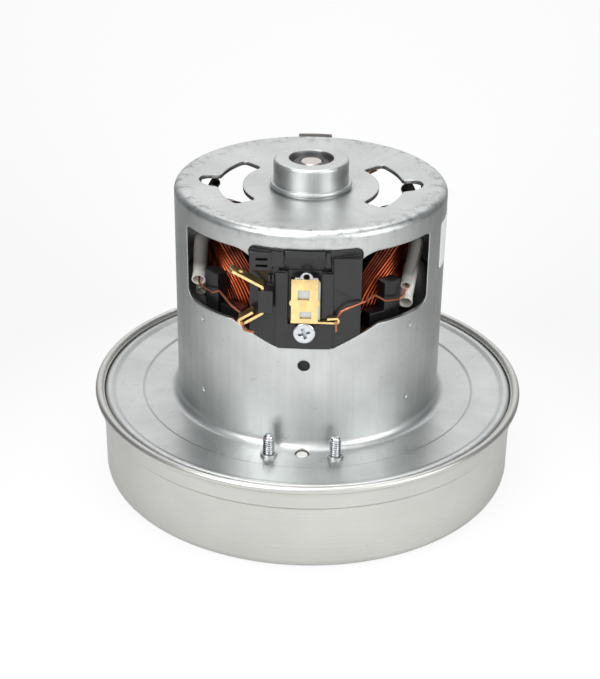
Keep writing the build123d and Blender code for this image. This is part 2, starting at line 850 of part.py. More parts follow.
# Inner layers of each field coil: a saddle between the shoe and the yoke, arched over the pole's ends
coil_core_r = coil_layer_r - coil_wire_r - coil_layer_gap - coil_sag
coil_half_w = coil_core_r * sin(radians(coil_outer_angle))
coil_neck_half_w = pole_half_w + coil_neck_gap
coil_neck_high_z = core_high_z + insulator_plate + coil_edge
coil_neck_low_z = core_low_z - insulator_plate - coil_edge
coil_arch_h = coil_top_high_z - coil_edge - coil_leg_high_z
coil_bow_h = coil_leg_low_z - coil_low_low_z - coil_edge
for side, middle in (("right", 0), ("left", 180)):
    with BuildPart() as coil_core:
        with BuildSketch(Plane.YZ):
            with BuildLine():
                top = EllipticalCenterArc((0, coil_leg_high_z), coil_half_w, coil_arch_h, arc_size=180)
                bottom = EllipticalCenterArc(
                    (0, coil_leg_low_z), coil_half_w, coil_bow_h, start_angle=180, arc_size=180
                )
                Line(top @ 1, bottom @ 0)
                Line(bottom @ 1, top @ 0)
            make_face()
            with Locations((0, (coil_neck_low_z + coil_neck_high_z) / 2)):
                Rectangle(2 * coil_neck_half_w, coil_neck_high_z - coil_neck_low_z, mode=Mode.SUBTRACT)
        extrude(amount=coil_core_r * cos(radians(middle)))
        with BuildSketch(Plane.XY.offset(coil_low_low_z)):
            Circle(coil_core_r)
            Circle(coil_inner_r, mode=Mode.SUBTRACT)
        extrude(amount=coil_top_high_z - coil_low_low_z, mode=Mode.INTERSECT)
    finish(coil_core.part, f"field_coil_{side}")


def turn_points(turn, middle):
    """Corners and directions of the outer layer at a turn count: leg ends and the two arch tops."""
    pitch_angle = coil_leg_pitch / coil_layer_r * 180 / pi
    leg_angle = coil_outer_angle - turn * pitch_angle
    corner = int(round(6 * (turn % 1))) % 6
    leg_side = -1 if corner in (5, 0) else 1
    places = {
        0: (leg_angle, coil_leg_high_z),
        1: (0, coil_top_high_z - turn * coil_top_pitch),
        2: (leg_angle, coil_leg_high_z),
        3: (leg_angle, coil_leg_low_z),
        4: (0, coil_low_low_z + turn * coil_low_pitch),
        5: (leg_angle, coil_leg_low_z),
    }
    angle, height = places[corner]
    x, y = polar(coil_layer_r, middle + leg_side * angle)
    return Vector(x, y, height)


def biarc(start, start_dir, end, end_dir):
    """Two arcs that join smoothly, from one point and direction to another square to it."""
    gap = end - start
    along = gap.dot(start_dir + end_dir)
    reach = (-along + sqrt(along**2 + 2 * gap.dot(gap) * (1 - start_dir.dot(end_dir)))) / 2
    reach = reach / (1 - start_dir.dot(end_dir))
    first = start + start_dir * reach
    last = end - end_dir * reach
    joint = (first + last) / 2
    return [
        Edge.make_tangent_arc(start, start_dir, joint),
        Edge.make_tangent_arc(joint, (last - first).normalized(), end),
    ]


def least_gap(edges, wire_r):
    """Smallest gap of a wire to itself, measured between points half a millimetre apart."""
    spots = []
    length = 0
    for edge in edges:
        steps = max(2, int(edge.length / gap_step))
        spots += [(length + edge.length * i / steps, edge.position_at(i / steps)) for i in range(steps)]
        length += edge.length
    near = coil_top_high_z
    for i, (place, point) in enumerate(spots):
        for other_place, other in spots[i + 1:]:
            if other_place - place > gap_reach and abs(point.Z - other.Z) < near:
                near = min(near, (point - other).length)
    return near - 2 * wire_r


# Outer layer of each field coil: one unbroken wire, spiralling in from the outermost turn
for side, middle in (("right", 0), ("left", 180)):
    corners = [turn_points(place / 6, middle) for place in range(6 * coil_turn_count - 2)]
    edges = []
    leg_dirs = {}
    for place in range(2, len(corners) - 1, 3):
        leg_dirs[place] = (corners[place + 1] - corners[place]).normalized()
    for place in range(len(corners) - 1):
        corner = place % 6
        start = corners[place]
        end = corners[place + 1]
        around = Vector(*polar(1, middle + 90), 0)
        down_dir = leg_dirs.get(place - place % 6 + 2, Vector(0, 0, -1))
        if corner == 0:
            edges += biarc(start, leg_dirs.get(place - 1, Vector(0, 0, 1)), end, around)
        elif corner == 1:
            edges += biarc(start, around, end, leg_dirs.get(place + 1, Vector(0, 0, -1)))
        elif corner == 2:
            edges.append(Edge.make_line(start, end))
        elif corner == 3:
            edges += biarc(start, down_dir, end, -around)
        elif corner == 4:
            edges += biarc(start, -around, end, leg_dirs.get(place + 1, Vector(0, 0, 1)))
        else:
            edges.append(Edge.make_line(start, end))
    route = Wire(edges)
    with BuildPart() as winding:
        with BuildSketch(Plane(origin=route @ 0, z_dir=route % 0)):
            Circle(coil_wire_r)
        sweep(path=route)
    finish(winding.part, f"field_winding_{side}")
    print(f"field_winding_{side}: least gap {least_gap(edges, coil_wire_r):.2f} mm")

# End insulators on the field core, the upper one with lead posts, low walls and the holders' screw bosses
for name, plate_z in (("upper", core_high_z), ("lower", core_low_z - insulator_plate)):
    with BuildPart() as insulator:
        with BuildSketch(Plane.XY.offset(plate_z)):
            Circle(core_r - insulator_step)
            Circle(yoke_inner_r + insulator_step, mode=Mode.SUBTRACT)
            Rectangle(2 * (yoke_inner_r + overrun), 2 * (pole_half_w - insulator_step))
            for middle in (0, 180):
                add(ring_sector(bore_r, shoe_outer_r - insulator_step, middle, shoe_half_angle - insulator_step))
            Circle(bore_r + insulator_step, mode=Mode.SUBTRACT)
        extrude(amount=insulator_plate)
        if name == "upper":
            for front in (-90, 90):
                for middle, half_angle, high_z in (
                    (front - post_left_angle, post_half_angle, post_top_z),
                    (front + post_right_angle, post_half_angle, post_top_z),
                    (front - collar_wall_angle, collar_wall_half_angle, collar_wall_z),
                    (front + collar_wall_angle, collar_wall_half_angle, collar_wall_z),
                ):
                    with BuildSketch(Plane.XY.offset(plate_z)):
                        add(ring_sector(post_inner_r, post_outer_r, middle, half_angle))
                    extrude(amount=high_z - plate_z)
            for turn in (0, 180):
                with BuildSketch(side_plane(turn, screw_boss_inner_h)):
                    section(-screw_boss_half_w, screw_boss_half_w, plate_z, screw_boss_top_z)
                extrude(amount=screw_boss_outer_h - screw_boss_inner_h)
                with BuildSketch(side_plane(turn, screw_boss_inner_h - overrun)):
                    with Locations((0, holder_screw_z)):
                        Circle(holder_screw_r + running_gap)
                extrude(amount=screw_boss_outer_h - screw_boss_inner_h + 2 * overrun, mode=Mode.SUBTRACT)
    finish(insulator.part, f"{name}_end_insulator")

# Armature: slotted core, the winding heads at its ends and the commutator
with BuildPart() as armature_core:
    with BuildSketch(Plane.XY.offset(armature_low_z)):
        Circle(armature_r)
        Circle(shaft_core_r + press_gap, mode=Mode.SUBTRACT)
        with PolarLocations((slot_bottom_r + slot_top_r) / 2, slot_count):
            Rectangle(slot_top_r - slot_bottom_r, 2 * slot_half_w, mode=Mode.SUBTRACT)
        with PolarLocations(armature_r, slot_count):
            Rectangle(2 * (armature_r - slot_top_r) + overrun, 2 * slot_mouth_half_w, mode=Mode.SUBTRACT)
    extrude(amount=armature_high_z - armature_low_z)
finish(armature_core.part, "armature_core")

for name, low_z, high_z, far in (
    ("upper", armature_high_z + press_gap, armature_high_z + winding_high_h, -1),
    ("lower", armature_low_z - winding_low_h, armature_low_z - press_gap, 0),
):
    with BuildPart() as winding_head:
        with BuildSketch(Plane.XZ):
            section(winding_inner_r, winding_r, low_z, high_z)
        revolve(axis=Axis.Z)
        fillet(winding_head.edges().filter_by(GeomType.CIRCLE).group_by(Axis.Z)[far], radius=winding_round)
    finish(winding_head.part, f"{name}_armature_winding")

with BuildPart() as commutator_hub:
    with BuildSketch(Plane.XZ):
        section(shaft_core_r + press_gap, commutator_hub_r, commutator_low_z, commutator_high_z + commutator_hub_over)
    revolve(axis=Axis.Z)
finish(commutator_hub.part, "commutator_hub")

with BuildPart() as commutator_bars:
    with BuildSketch(Plane.XZ):
        section(commutator_hub_r + press_gap, commutator_r, commutator_low_z, commutator_high_z)
        section(commutator_hub_r + press_gap, riser_r, commutator_low_z, commutator_low_z + riser_h)
    revolve(axis=Axis.Z)
    with BuildSketch(Plane.XY.offset(commutator_low_z)):
        with PolarLocations(riser_r, slot_count):
            Rectangle(2 * (riser_r - commutator_r + bar_slot_depth), 2 * bar_slot_half_w)
    extrude(amount=commutator_high_z - commutator_low_z, mode=Mode.SUBTRACT)
finish(commutator_bars.part, "commutator_bars")

# Brush gear at the front and again at the rear
slope = (window_side_z - window_low_z) / (window_kink_x - window_low_half_w)
holder_low_z = window_low_z + holder_gap
holder_half_w = seat_half_w - holder_gap
holder_high_z = seat_top_z - holder_gap
holder_corner_z = holder_low_z + slope * (holder_half_w - window_low_half_w)
panel_corner_z = holder_low_z + panel_chamfer
holder_outline = (
    (-window_low_half_w, holder_low_z),
    (window_low_half_w, holder_low_z),
    (holder_half_w, holder_corner_z),
    (holder_half_w, holder_high_z),
    (-holder_half_w, holder_high_z),
    (-holder_half_w, holder_corner_z),
)
panel_outline = (
    (panel_chamfer - panel_left_x, holder_low_z),
    (panel_right_x - panel_chamfer, holder_low_z),
    (panel_right_x, panel_corner_z),
    (panel_right_x, panel_top_z),
    (-panel_left_x, panel_top_z),
    (-panel_left_x, panel_corner_z),
)
right_block_outline = (
    (panel_right_x, right_block_low_inner_z),
    (holder_half_w, right_block_low_outer_z),
    (holder_half_w, block_top_z),
    (panel_right_x, block_top_z),
)


def corners(low_x, high_x, low_z, high_z):
    """Corners of an upright rectangle."""
    return ((low_x, low_z), (high_x, low_z), (high_x, high_z), (low_x, high_z))


for end, turn in (("front", 0), ("rear", 180)):
    with BuildPart() as holder:
        with BuildSketch(side_plane(turn)) as holder_face:
            with BuildLine():
                Polyline(*holder_outline, close=True)
            make_face()
            fillet(holder_face.vertices().group_by(Axis.Y)[-1], radius=seat_corner_r - holder_gap)
        extrude(amount=holder_front_r)
        with BuildSketch(Plane.XY.offset(holder_low_z)):
            Circle(holder_front_r)
            Circle(holder_back_r, mode=Mode.SUBTRACT)
        extrude(amount=holder_high_z - holder_low_z, mode=Mode.INTERSECT)
        for outline, outer_h in (
            (panel_outline, panel_h),
            (right_block_outline, block_h),
            (corners(-holder_side_half_w, -pad_outer_x, block_low_z, left_block_top_z), block_h),
            (corners(-bridge_half_w, bridge_half_w, bridge_low_z, holder_high_z), bridge_h),
            (corners(-rib_left_x, -rib_right_x, rib_low_z, rib_high_z), terminal_outer_h + rib_front_wall),
            (corners(-bar_x_low - bar_w, -bar_x_low, bar_low_z, bar_high_z), bar_h),
            (corners(-bar_x_low - bar_w - bar_pitch, -bar_x_low - bar_pitch, bar_low_z, bar_high_z), bar_h),
        ):
            with BuildSketch(side_plane(turn, holder_back_r)):
                with BuildLine():
                    Polyline(*outline, close=True)
                make_face()
            extrude(amount=outer_h - holder_back_r)
        with BuildSketch(side_plane(turn, channel_inner_h)):
            section(-channel_half_w, channel_half_w, channel_low_z, channel_high_z)
        extrude(amount=holder_back_r + overrun - channel_inner_h)
        for outline, inner_h in (
            (corners(-recess_half_w, recess_half_w, recess_low_z, recess_top_z), recess_h),
            (corners(-pocket_half_w, pocket_half_w, channel_low_z, recess_top_z), pocket_h),
            (corners(-tube_half_w - loose_gap, tube_half_w + loose_gap, *tube_opening), channel_inner_h - overrun),
            (corners(-slot_x_high, -slot_x_low, slot_upper_z, slot_upper_z + slot_h), block_h - slot_depth),
            (corners(-slot_x_high, -slot_x_low, slot_lower_z, slot_lower_z + slot_h), block_h - slot_depth),
        ):
            with BuildSketch(side_plane(turn, inner_h)):
                with BuildLine():
                    Polyline(*outline, close=True)
                make_face()
            extrude(amount=terminal_outer_h, mode=Mode.SUBTRACT)
        for outline in (
            corners(-pad_outer_x, -pad_inner_x, pad_low_z, pad_high_z),
            corners(tab_inner_x, tab_outer_x, pad_low_z, pad_high_z),
        ):
            with BuildSketch(side_plane(turn, recess_h)):
                with BuildLine():
                    Polyline(*outline, close=True)
                make_face()
            extrude(amount=pad_h - recess_h)
        with BuildSketch(side_plane(turn, terminal_inner_h - terminal_gap)):
            section(-terminal_x - terminal_sheet - terminal_gap, terminal_gap - terminal_x, rib_low_z, rib_high_z)
        extrude(amount=terminal_outer_h - terminal_inner_h + 2 * terminal_gap, mode=Mode.SUBTRACT)
        with BuildSketch(side_plane(turn, screw_boss_outer_h - overrun)):
            with Locations((0, holder_screw_z)):
                Circle(holder_screw_r + running_gap)
        extrude(amount=panel_h, mode=Mode.SUBTRACT)
        with BuildSketch(Plane.XY.offset(holder_low_z)):
            Circle(core_r + loose_gap)
        extrude(amount=core_high_z + insulator_plate + loose_gap - holder_low_z, mode=Mode.SUBTRACT)
    finish(holder.part, f"{end}_brush_holder")

    # Brass tube with the folded flap in front of the clip and the strip that ends in a hook
    with BuildPart() as tube:
        with BuildSketch(side_plane(turn, tube_inner_h)):
            section(-tube_half_w, tube_half_w, tube_low_z, tube_high_z)
            with Locations((0, brush_z)):
                Rectangle(2 * (tube_half_w - tube_sheet), brush_high_z - brush_low_z, mode=Mode.SUBTRACT)
        extrude(amount=tube_outer_h - tube_inner_h)
        with BuildSketch(side_plane(turn, tube_outer_h)):
            section(-tube_half_w, tube_half_w, tube_low_z, brush_low_z)
        extrude(amount=flap_outer_h - tube_outer_h)
        with BuildSketch(side_plane(turn, clip_outer_h + press_gap)):
            section(-flap_half_w, flap_half_w, tube_low_z, flap_top_z)
            with Locations((0, brush_z)):
                Ellipse(flap_half_w + flap_bulge, flap_bulge_half_h)
            for shift, middle_z, half_h in (
                (-flap_window_shift, flap_upper_window_z, flap_upper_window_half_h),
                (flap_window_shift, flap_lower_window_z, flap_lower_window_half_h),
            ):
                with Locations((shift, middle_z)):
                    Rectangle(2 * flap_window_half_w, 2 * half_h, mode=Mode.SUBTRACT)
        extrude(amount=flap_outer_h - clip_outer_h - press_gap)
        radius_plane = Plane(origin=(0, 0, 0), x_dir=side_plane(turn).z_dir, z_dir=-side_plane(turn).x_dir)
        with BuildSketch(radius_plane):
            with BuildLine():
                Polyline(
                    (flap_outer_h, flap_top_z - flap_lean_h),
                    (flap_outer_h + overrun, flap_top_z - flap_lean_h),
                    (flap_outer_h + overrun, flap_top_z + overrun),
                    (flap_outer_h - flap_lean, flap_top_z + overrun),
                    (flap_outer_h - flap_lean, flap_top_z),
                    close=True,
                )
            make_face()
        extrude(amount=tube_half_w + overrun, both=True, mode=Mode.SUBTRACT)
        with BuildSketch(side_plane(turn, hook_inner_h)):
            with BuildLine():
                FilletPolyline(
                    (hook_root_x, tube_low_z),
                    (hook_reach_x, tube_low_z),
                    (hook_reach_x, tube_low_z + hook_rise),
                    (hook_reach_x - hook_back, tube_low_z + hook_rise - hook_droop),
                    radius=hook_round,
                )
                offset(amount=hook_sheet, side=Side.LEFT)
            make_face()
        extrude(amount=flap_outer_h - hook_inner_h)
    finish(tube.part, f"{end}_brush_tube")

    # Steel clip that closes the tube behind the flap
    with BuildPart() as clip:
        with BuildSketch(side_plane(turn, tube_outer_h + press_gap)):
            with BuildLine():
                Polyline(
                    (clip_shift - clip_half_w, brush_low_z + running_gap),
                    (clip_shift + clip_half_w, brush_low_z + running_gap),
                    (clip_shift + clip_half_w, clip_shoulder_low_z),
                    (clip_shift + clip_half_w - clip_shoulder_w, clip_shoulder_high_z),
                    (clip_shift - clip_half_w + clip_shoulder_w, clip_shoulder_high_z),
                    (clip_shift - clip_half_w, clip_shoulder_low_z),
                    close=True,
                )
            make_face()
            with Locations((clip_shift, clip_top_z - clip_round_r)):
                Circle(clip_round_r)
            with Locations((clip_shift, eyelet_z)):
                Circle(eyelet_r, mode=Mode.SUBTRACT)
        extrude(amount=clip_sheet - press_gap)
    finish(clip.part, f"{end}_brush_tube_clip")

    # Carbon brush, hollowed to the commutator, and its spring
    with BuildPart() as brush:
        with BuildSketch(side_plane(turn)):
            with Locations((0, brush_z)):
                Rectangle(2 * brush_half_w, 2 * brush_half_h)
        extrude(amount=brush_outer_h)
        with BuildSketch(Plane.XY.offset(commutator_low_z)):
            Circle(commutator_r + running_gap)
        extrude(amount=commutator_high_z - commutator_low_z, mode=Mode.SUBTRACT)
    finish(brush.part, f"{end}_carbon_brush")
    with BuildPart() as spring:
        with BuildSketch(side_plane(turn, brush_outer_h + running_gap)):
            with Locations((0, brush_z)):
                Circle(spring_r)
                Circle(spring_r - spring_wall, mode=Mode.SUBTRACT)
        extrude(amount=tube_outer_h - brush_outer_h - 2 * running_gap)
    finish(spring.part, f"{end}_brush_spring")

    # Spade terminal: the leaf, its root in the holder's rib and the folded hook
    with BuildPart() as terminal:
        hook_angle = atan2(terminal_hook_root_z - terminal_hook_z, terminal_hook_x - terminal_x)
        fold_x = -terminal_hook_x - terminal_fold * sin(hook_angle)
        fold_z = terminal_hook_z + terminal_fold * cos(hook_angle)
        leaf_drop = terminal_spade_z - terminal_spade_root_z
        leaf_angle = atan2(leaf_drop, terminal_spade_x - terminal_x)
        with BuildSketch(side_plane(turn, terminal_inner_h)):
            with BuildLine():
                FilletPolyline(
                    (-terminal_spade_x, terminal_spade_z),
                    (-terminal_x, terminal_spade_root_z),
                    (-terminal_x, terminal_hook_root_z),
                    (-terminal_hook_x, terminal_hook_z),
                    (fold_x, fold_z),
                    (
                        fold_x + terminal_fold_back * cos(hook_angle),
                        fold_z + terminal_fold_back * sin(hook_angle),
                    ),
                    radius=[terminal_bend_r, terminal_bend_r, terminal_fold_r, terminal_fold_r],
                )
                offset(amount=terminal_sheet, side=Side.LEFT)
            make_face()
        extrude(amount=terminal_outer_h - terminal_inner_h)
        middle_h = (terminal_inner_h + terminal_outer_h) / 2
        tip = side_plane(turn, middle_h).from_local_coords(
            (
                -terminal_spade_x - terminal_sheet / 2 * sin(leaf_angle),
                terminal_spade_z - terminal_sheet / 2 * cos(leaf_angle),
            )
        )
        free_end = terminal.faces().sort_by_distance(tip)[0]
        chamfer(free_end.edges().sort_by(SortBy.LENGTH)[:2], length=terminal_chamfer)
        hole_at = side_plane(turn, middle_h).from_local_coords(
            (
                terminal_hole_reach * cos(leaf_angle) - terminal_spade_x,
                terminal_spade_z - terminal_hole_reach * sin(leaf_angle),
            )
        )
        leaf_normal = side_plane(turn).x_dir * sin(leaf_angle) + Vector(0, 0, cos(leaf_angle))
        with BuildSketch(Plane(origin=hole_at, z_dir=leaf_normal)):
            Circle(terminal_hole_r)
        extrude(amount=terminal_sheet + overrun, both=True, mode=Mode.SUBTRACT)
    finish(terminal.part, f"{end}_power_terminal")

    # Pan head screw that holds the holder
    with BuildPart() as screw:
        with BuildSketch(side_plane(turn, holder_screw_inner_h)):
            with Locations((0, holder_screw_z)):
                Circle(holder_screw_r)
        extrude(amount=panel_h + press_gap - holder_screw_inner_h)
        with BuildSketch(side_plane(turn, panel_h + press_gap)):
            with Locations((0, holder_screw_z)):
                Circle(holder_screw_head_r)
        extrude(amount=holder_screw_head_h)
        head_edge = screw.edges().filter_by(GeomType.CIRCLE).sort_by(Axis.Y)[0 if end == "front" else -1]
        fillet(head_edge, radius=holder_head_round)
        with BuildSketch(side_plane(turn, panel_h + holder_screw_head_h - recess_cross_depth)):
            with Locations((0, holder_screw_z)):
                for arm in (0, 90):
                    Rectangle(2 * recess_cross_reach, 2 * recess_cross_half_w, rotation=recess_cross_turn + arm)
        extrude(amount=holder_screw_head_h, mode=Mode.SUBTRACT)
    finish(screw.part, f"{end}_holder_screw")

    # Sleeves over the coil ends and the leads from them to the two hooks
    for name, route, outer_r, inner_r, bend_r in (
        ("left_sleeve", left_sleeve_route, sleeve_r, sleeve_r - sleeve_wall, sleeve_bend_r),
        ("left_short_sleeve", left_short_sleeve_route, small_sleeve_r, small_sleeve_r - sleeve_wall, sleeve_bend_r),
        ("right_sleeve", right_sleeve_route, sleeve_r, sleeve_r - sleeve_wall, sleeve_bend_r),
        ("right_short_sleeve", right_short_sleeve_route, small_sleeve_r, small_sleeve_r - sleeve_wall, sleeve_bend_r),
        ("left_lead", left_lead_route, lead_r, 0, lead_bend_r),
        ("right_lead", right_lead_route, lead_r, 0, lead_bend_r),
    ):
        with BuildPart() as cord:
            with BuildLine() as middle_line:
                FilletPolyline(*[Vector(*point).rotate(Axis.Z, turn) for point in route], radius=bend_r)
            with BuildSketch(Plane(origin=middle_line.line @ 0, z_dir=middle_line.line % 0)):
                Circle(outer_r)
                if inner_r:
                    Circle(inner_r, mode=Mode.SUBTRACT)
            sweep()
        finish(cord.part, f"{end}_{name}")
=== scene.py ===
"""Vacuum motor unit: finishes, windings, small surface detail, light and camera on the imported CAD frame."""
import logging
from dataclasses import dataclass, field
from enum import Enum
from math import cos, pi, radians, sin
from typing import Callable, Iterable, Sequence

import bmesh
import bpy
from bpy.types import Material, Mesh, Node, NodeSocket, NodeTree, Object, bpy_prop_collection
from mathutils import Matrix, Vector


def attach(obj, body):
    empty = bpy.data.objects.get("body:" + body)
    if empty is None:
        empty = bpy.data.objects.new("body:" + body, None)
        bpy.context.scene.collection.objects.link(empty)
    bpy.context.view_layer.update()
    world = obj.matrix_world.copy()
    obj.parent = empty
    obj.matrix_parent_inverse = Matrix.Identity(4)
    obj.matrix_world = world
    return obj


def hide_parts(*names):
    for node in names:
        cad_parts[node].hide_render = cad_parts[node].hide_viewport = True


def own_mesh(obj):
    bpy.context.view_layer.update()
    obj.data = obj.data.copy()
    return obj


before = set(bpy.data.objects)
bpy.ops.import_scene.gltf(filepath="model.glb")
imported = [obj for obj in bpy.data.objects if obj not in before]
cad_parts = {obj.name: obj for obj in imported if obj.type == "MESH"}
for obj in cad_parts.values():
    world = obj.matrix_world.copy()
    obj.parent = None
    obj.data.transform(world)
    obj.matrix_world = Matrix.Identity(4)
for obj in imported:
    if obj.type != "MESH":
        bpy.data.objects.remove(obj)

LOG = logging.getLogger("vacuum_motor_unit")
MM = 0.001

Triple = tuple[float, float, float]
Levels = tuple[tuple[float, float], ...]
Value = NodeSocket | float
Colour = NodeSocket | Triple
Sockets = bpy_prop_collection

# Colour factor of a wholly darkened surface, and of a dark spot
DARKEST = 0.12
SPOT_SHADE = 0.45
# Noise at which a cloudy patch is darkest, and lightest
PATCH_STOPS = (0.3, 0.7)
# Size of the spots in millimetres, and the noise above which there is one
SPOT_MM = 2.6
SPOT_LIMIT = 0.68
# Widths of turned rings, drawn streaks and scratches in millimetres
RING_MM = 0.55
STREAK_MM = 1.8
SCRATCH_MM = 0.7
# Scale along a streak or a scratch, below 1 for a long one
STRETCH = 0.03
# Radius at which a streak has its width
STREAK_R_MM = 40
# Angles of the two sets of scratches in radians, their tilt, and the noise above which there is one
SCRATCH_TURNS = (0.5, 2.2)
SCRATCH_TILT = 0.3
SCRATCH_LIMIT = 0.73
# Distance in millimetres below which the corners of facets are one
WELD_MM = 0.002
# Angle below which an edge between facets is shaded smooth
SMOOTH_BELOW = radians(32)
# Points of a turn of a field coil, of an armature's chord and of a turn of a helix
TURN_POINTS = 112
CHORD_POINTS = 22
HELIX_POINTS = 24
# Sides of a wire, and of one in the armature
WIRE_SIDES = 8
CHORD_SIDES = 6
# Power of a wire's random share of painted highlight, above 1 for more wires in painted shade than lit ones
LIGHT_TONE_POWER = 1.6
# Share of the roughness that patches and grain vary, what wear adds to it, and that of a clear coat
UNEVEN = 0.25
WEAR_ROUGHNESS = 0.5
COAT_ROUGHNESS = 0.12


class Body(str, Enum):
    """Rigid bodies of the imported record."""

    FRAME = "frame"
    ROTOR = "rotor"


class End(Enum):
    """The two ends of the brush gear, with the side of the motor axis along Y that each lies on."""

    FRONT = ("front", -1)
    REAR = ("rear", 1)

    @property
    def word(self) -> str:
        """Word that starts the CAD names of this end."""
        return self.value[0]

    @property
    def side(self) -> int:
        """Sign of Y at this end."""
        return self.value[1]


class NodeGraph:
    """A node tree under construction, for a material or for geometry.

    Args:
        tree: the tree that nodes are added to.
    """

    def __init__(self, tree: NodeTree) -> None:
        """Keep the tree."""
        self.tree = tree

    def node(self, kind: str, settings: dict[str, object] | None = None, **inputs: object) -> Node:
        """Add a node, with its settings, then its inputs by position (i0, i1...) or by socket name.

        Args:
            kind: node type.
            settings: attributes of the node.
            inputs: values or output sockets.

        Returns:
            The node.
        """
        made = self.tree.nodes.new(kind)
        for name, value in (settings or {}).items():
            setattr(made, name, value)
        for name, value in inputs.items():
            key = int(name[1:]) if name[0] == "i" and name[1:].isdigit() else name.replace("_", " ")
            socket = made.inputs[key]
            if isinstance(value, NodeSocket):
                self.tree.links.new(value, socket)
            else:
                socket.default_value = value
        return made

    def math(self, operation: str, *values: Value) -> NodeSocket:
        """Add a math node.

        Args:
            operation: name of the operation.
            values: numbers or sockets, as many as it takes.

        Returns:
            Its value socket.
        """
        inputs = {f"i{index}": value for index, value in enumerate(values)}
        return self.node("ShaderNodeMath", {"operation": operation}, **inputs).outputs[0]

    def ramp(self, value: Value, stops: Iterable[tuple[float, Triple]]) -> NodeSocket:
        """Add a colour ramp.

        Args:
            value: factor socket.
            stops: position and colour of each stop.

        Returns:
            Its colour socket.
        """
        made = self.node("ShaderNodeValToRGB", None, i0=value)
        elements = made.color_ramp.elements
        for index, (place, colour) in enumerate(stops):
            element = elements[index] if index < len(elements) else elements.new(place)
            element.position = place
            element.color = (*colour, 1.0)
        return made.outputs["Color"]

    def mix(self, share: Value, first: Colour, second: Colour) -> NodeSocket:
        """Mix two colours.

        Args:
            share: how much of the second colour, a number or a socket.
            first: first colour or socket.
            second: second colour or socket.

        Returns:
            The mixed colour's socket.
        """
        ends = [(*end, 1.0) if isinstance(end, tuple) else end for end in (first, second)]
        kind = "ShaderNodeMix"
        return self.node(kind, {"data_type": "RGBA"}, i0=share, i6=ends[0], i7=ends[1]).outputs[2]

    def noise(
        self, place: NodeSocket, size_mm: float, detail: float, roughness: float = 0.5
    ) -> NodeSocket:
        """Add a noise of a given size.

        Args:
            place: vector socket.
            size_mm: size of its largest spots.
            detail: octaves of finer noise.
            roughness: weight of the finer noise.

        Returns:
            Its value socket.
        """
        kind = "ShaderNodeTexNoise"
        scale = 1 / (size_mm * MM)
        made = self.node(kind, None, Vector=place, Scale=scale, Detail=detail, Roughness=roughness)
        return made.outputs[0]

    def split(self, vector: NodeSocket) -> Sockets:
        """Split a vector.

        Args:
            vector: vector socket.

        Returns:
            The sockets of its X, Y and Z.
        """
        return self.node("ShaderNodeSeparateXYZ", None, i0=vector).outputs

    def diagonal(self, first: Value, second: Value) -> NodeSocket:
        """Length of the diagonal over two sides.

        Args:
            first: first side.
            second: second side.

        Returns:
            Its value socket.
        """
        squares = self.math("MULTIPLY_ADD", first, first, self.math("MULTIPLY", second, second))
        return self.math("SQRT", squares)

    def around(self, radius: Value, angle: Value, height: Value) -> NodeSocket:
        """Place given by a radius and an angle about the motor axis, and a height.

        Args:
            radius: distance from the axis.
            angle: angle in radians.
            height: height.

        Returns:
            The vector socket.
        """
        x = self.math("MULTIPLY", radius, self.math("COSINE", angle))
        y = self.math("MULTIPLY", radius, self.math("SINE", angle))
        return self.node("ShaderNodeCombineXYZ", None, i0=x, i1=y, i2=height).outputs[0]

    def chance(self, low: float, index: NodeSocket, seed: NodeSocket) -> NodeSocket:
        """Random value for each copy, up to 1.

        Args:
            low: lowest value.
            index: socket with the copy's number.
            seed: socket with the seed.

        Returns:
            Its value socket.
        """
        kind = "FunctionNodeRandomValue"
        return self.node(kind, {"data_type": "FLOAT"}, i2=low, i3=1.0, ID=index, Seed=seed).outputs[1]

    def between(self, first: Value, last: Value, share: Value) -> NodeSocket:
        """Value at a share of the way from one value to another.

        Args:
            first: value at share 0.
            last: value at share 1.
            share: the share.

        Returns:
            Its value socket.
        """
        return self.math("MULTIPLY_ADD", self.math("SUBTRACT", last, first), share, first)


def shade(colour: Triple, by: float) -> Triple:
    """Lighten or darken a colour.

    Args:
        colour: linear colour.
        by: factor.

    Returns:
        The new colour.
    """
    return tuple(min(1.0, channel * by) for channel in colour)


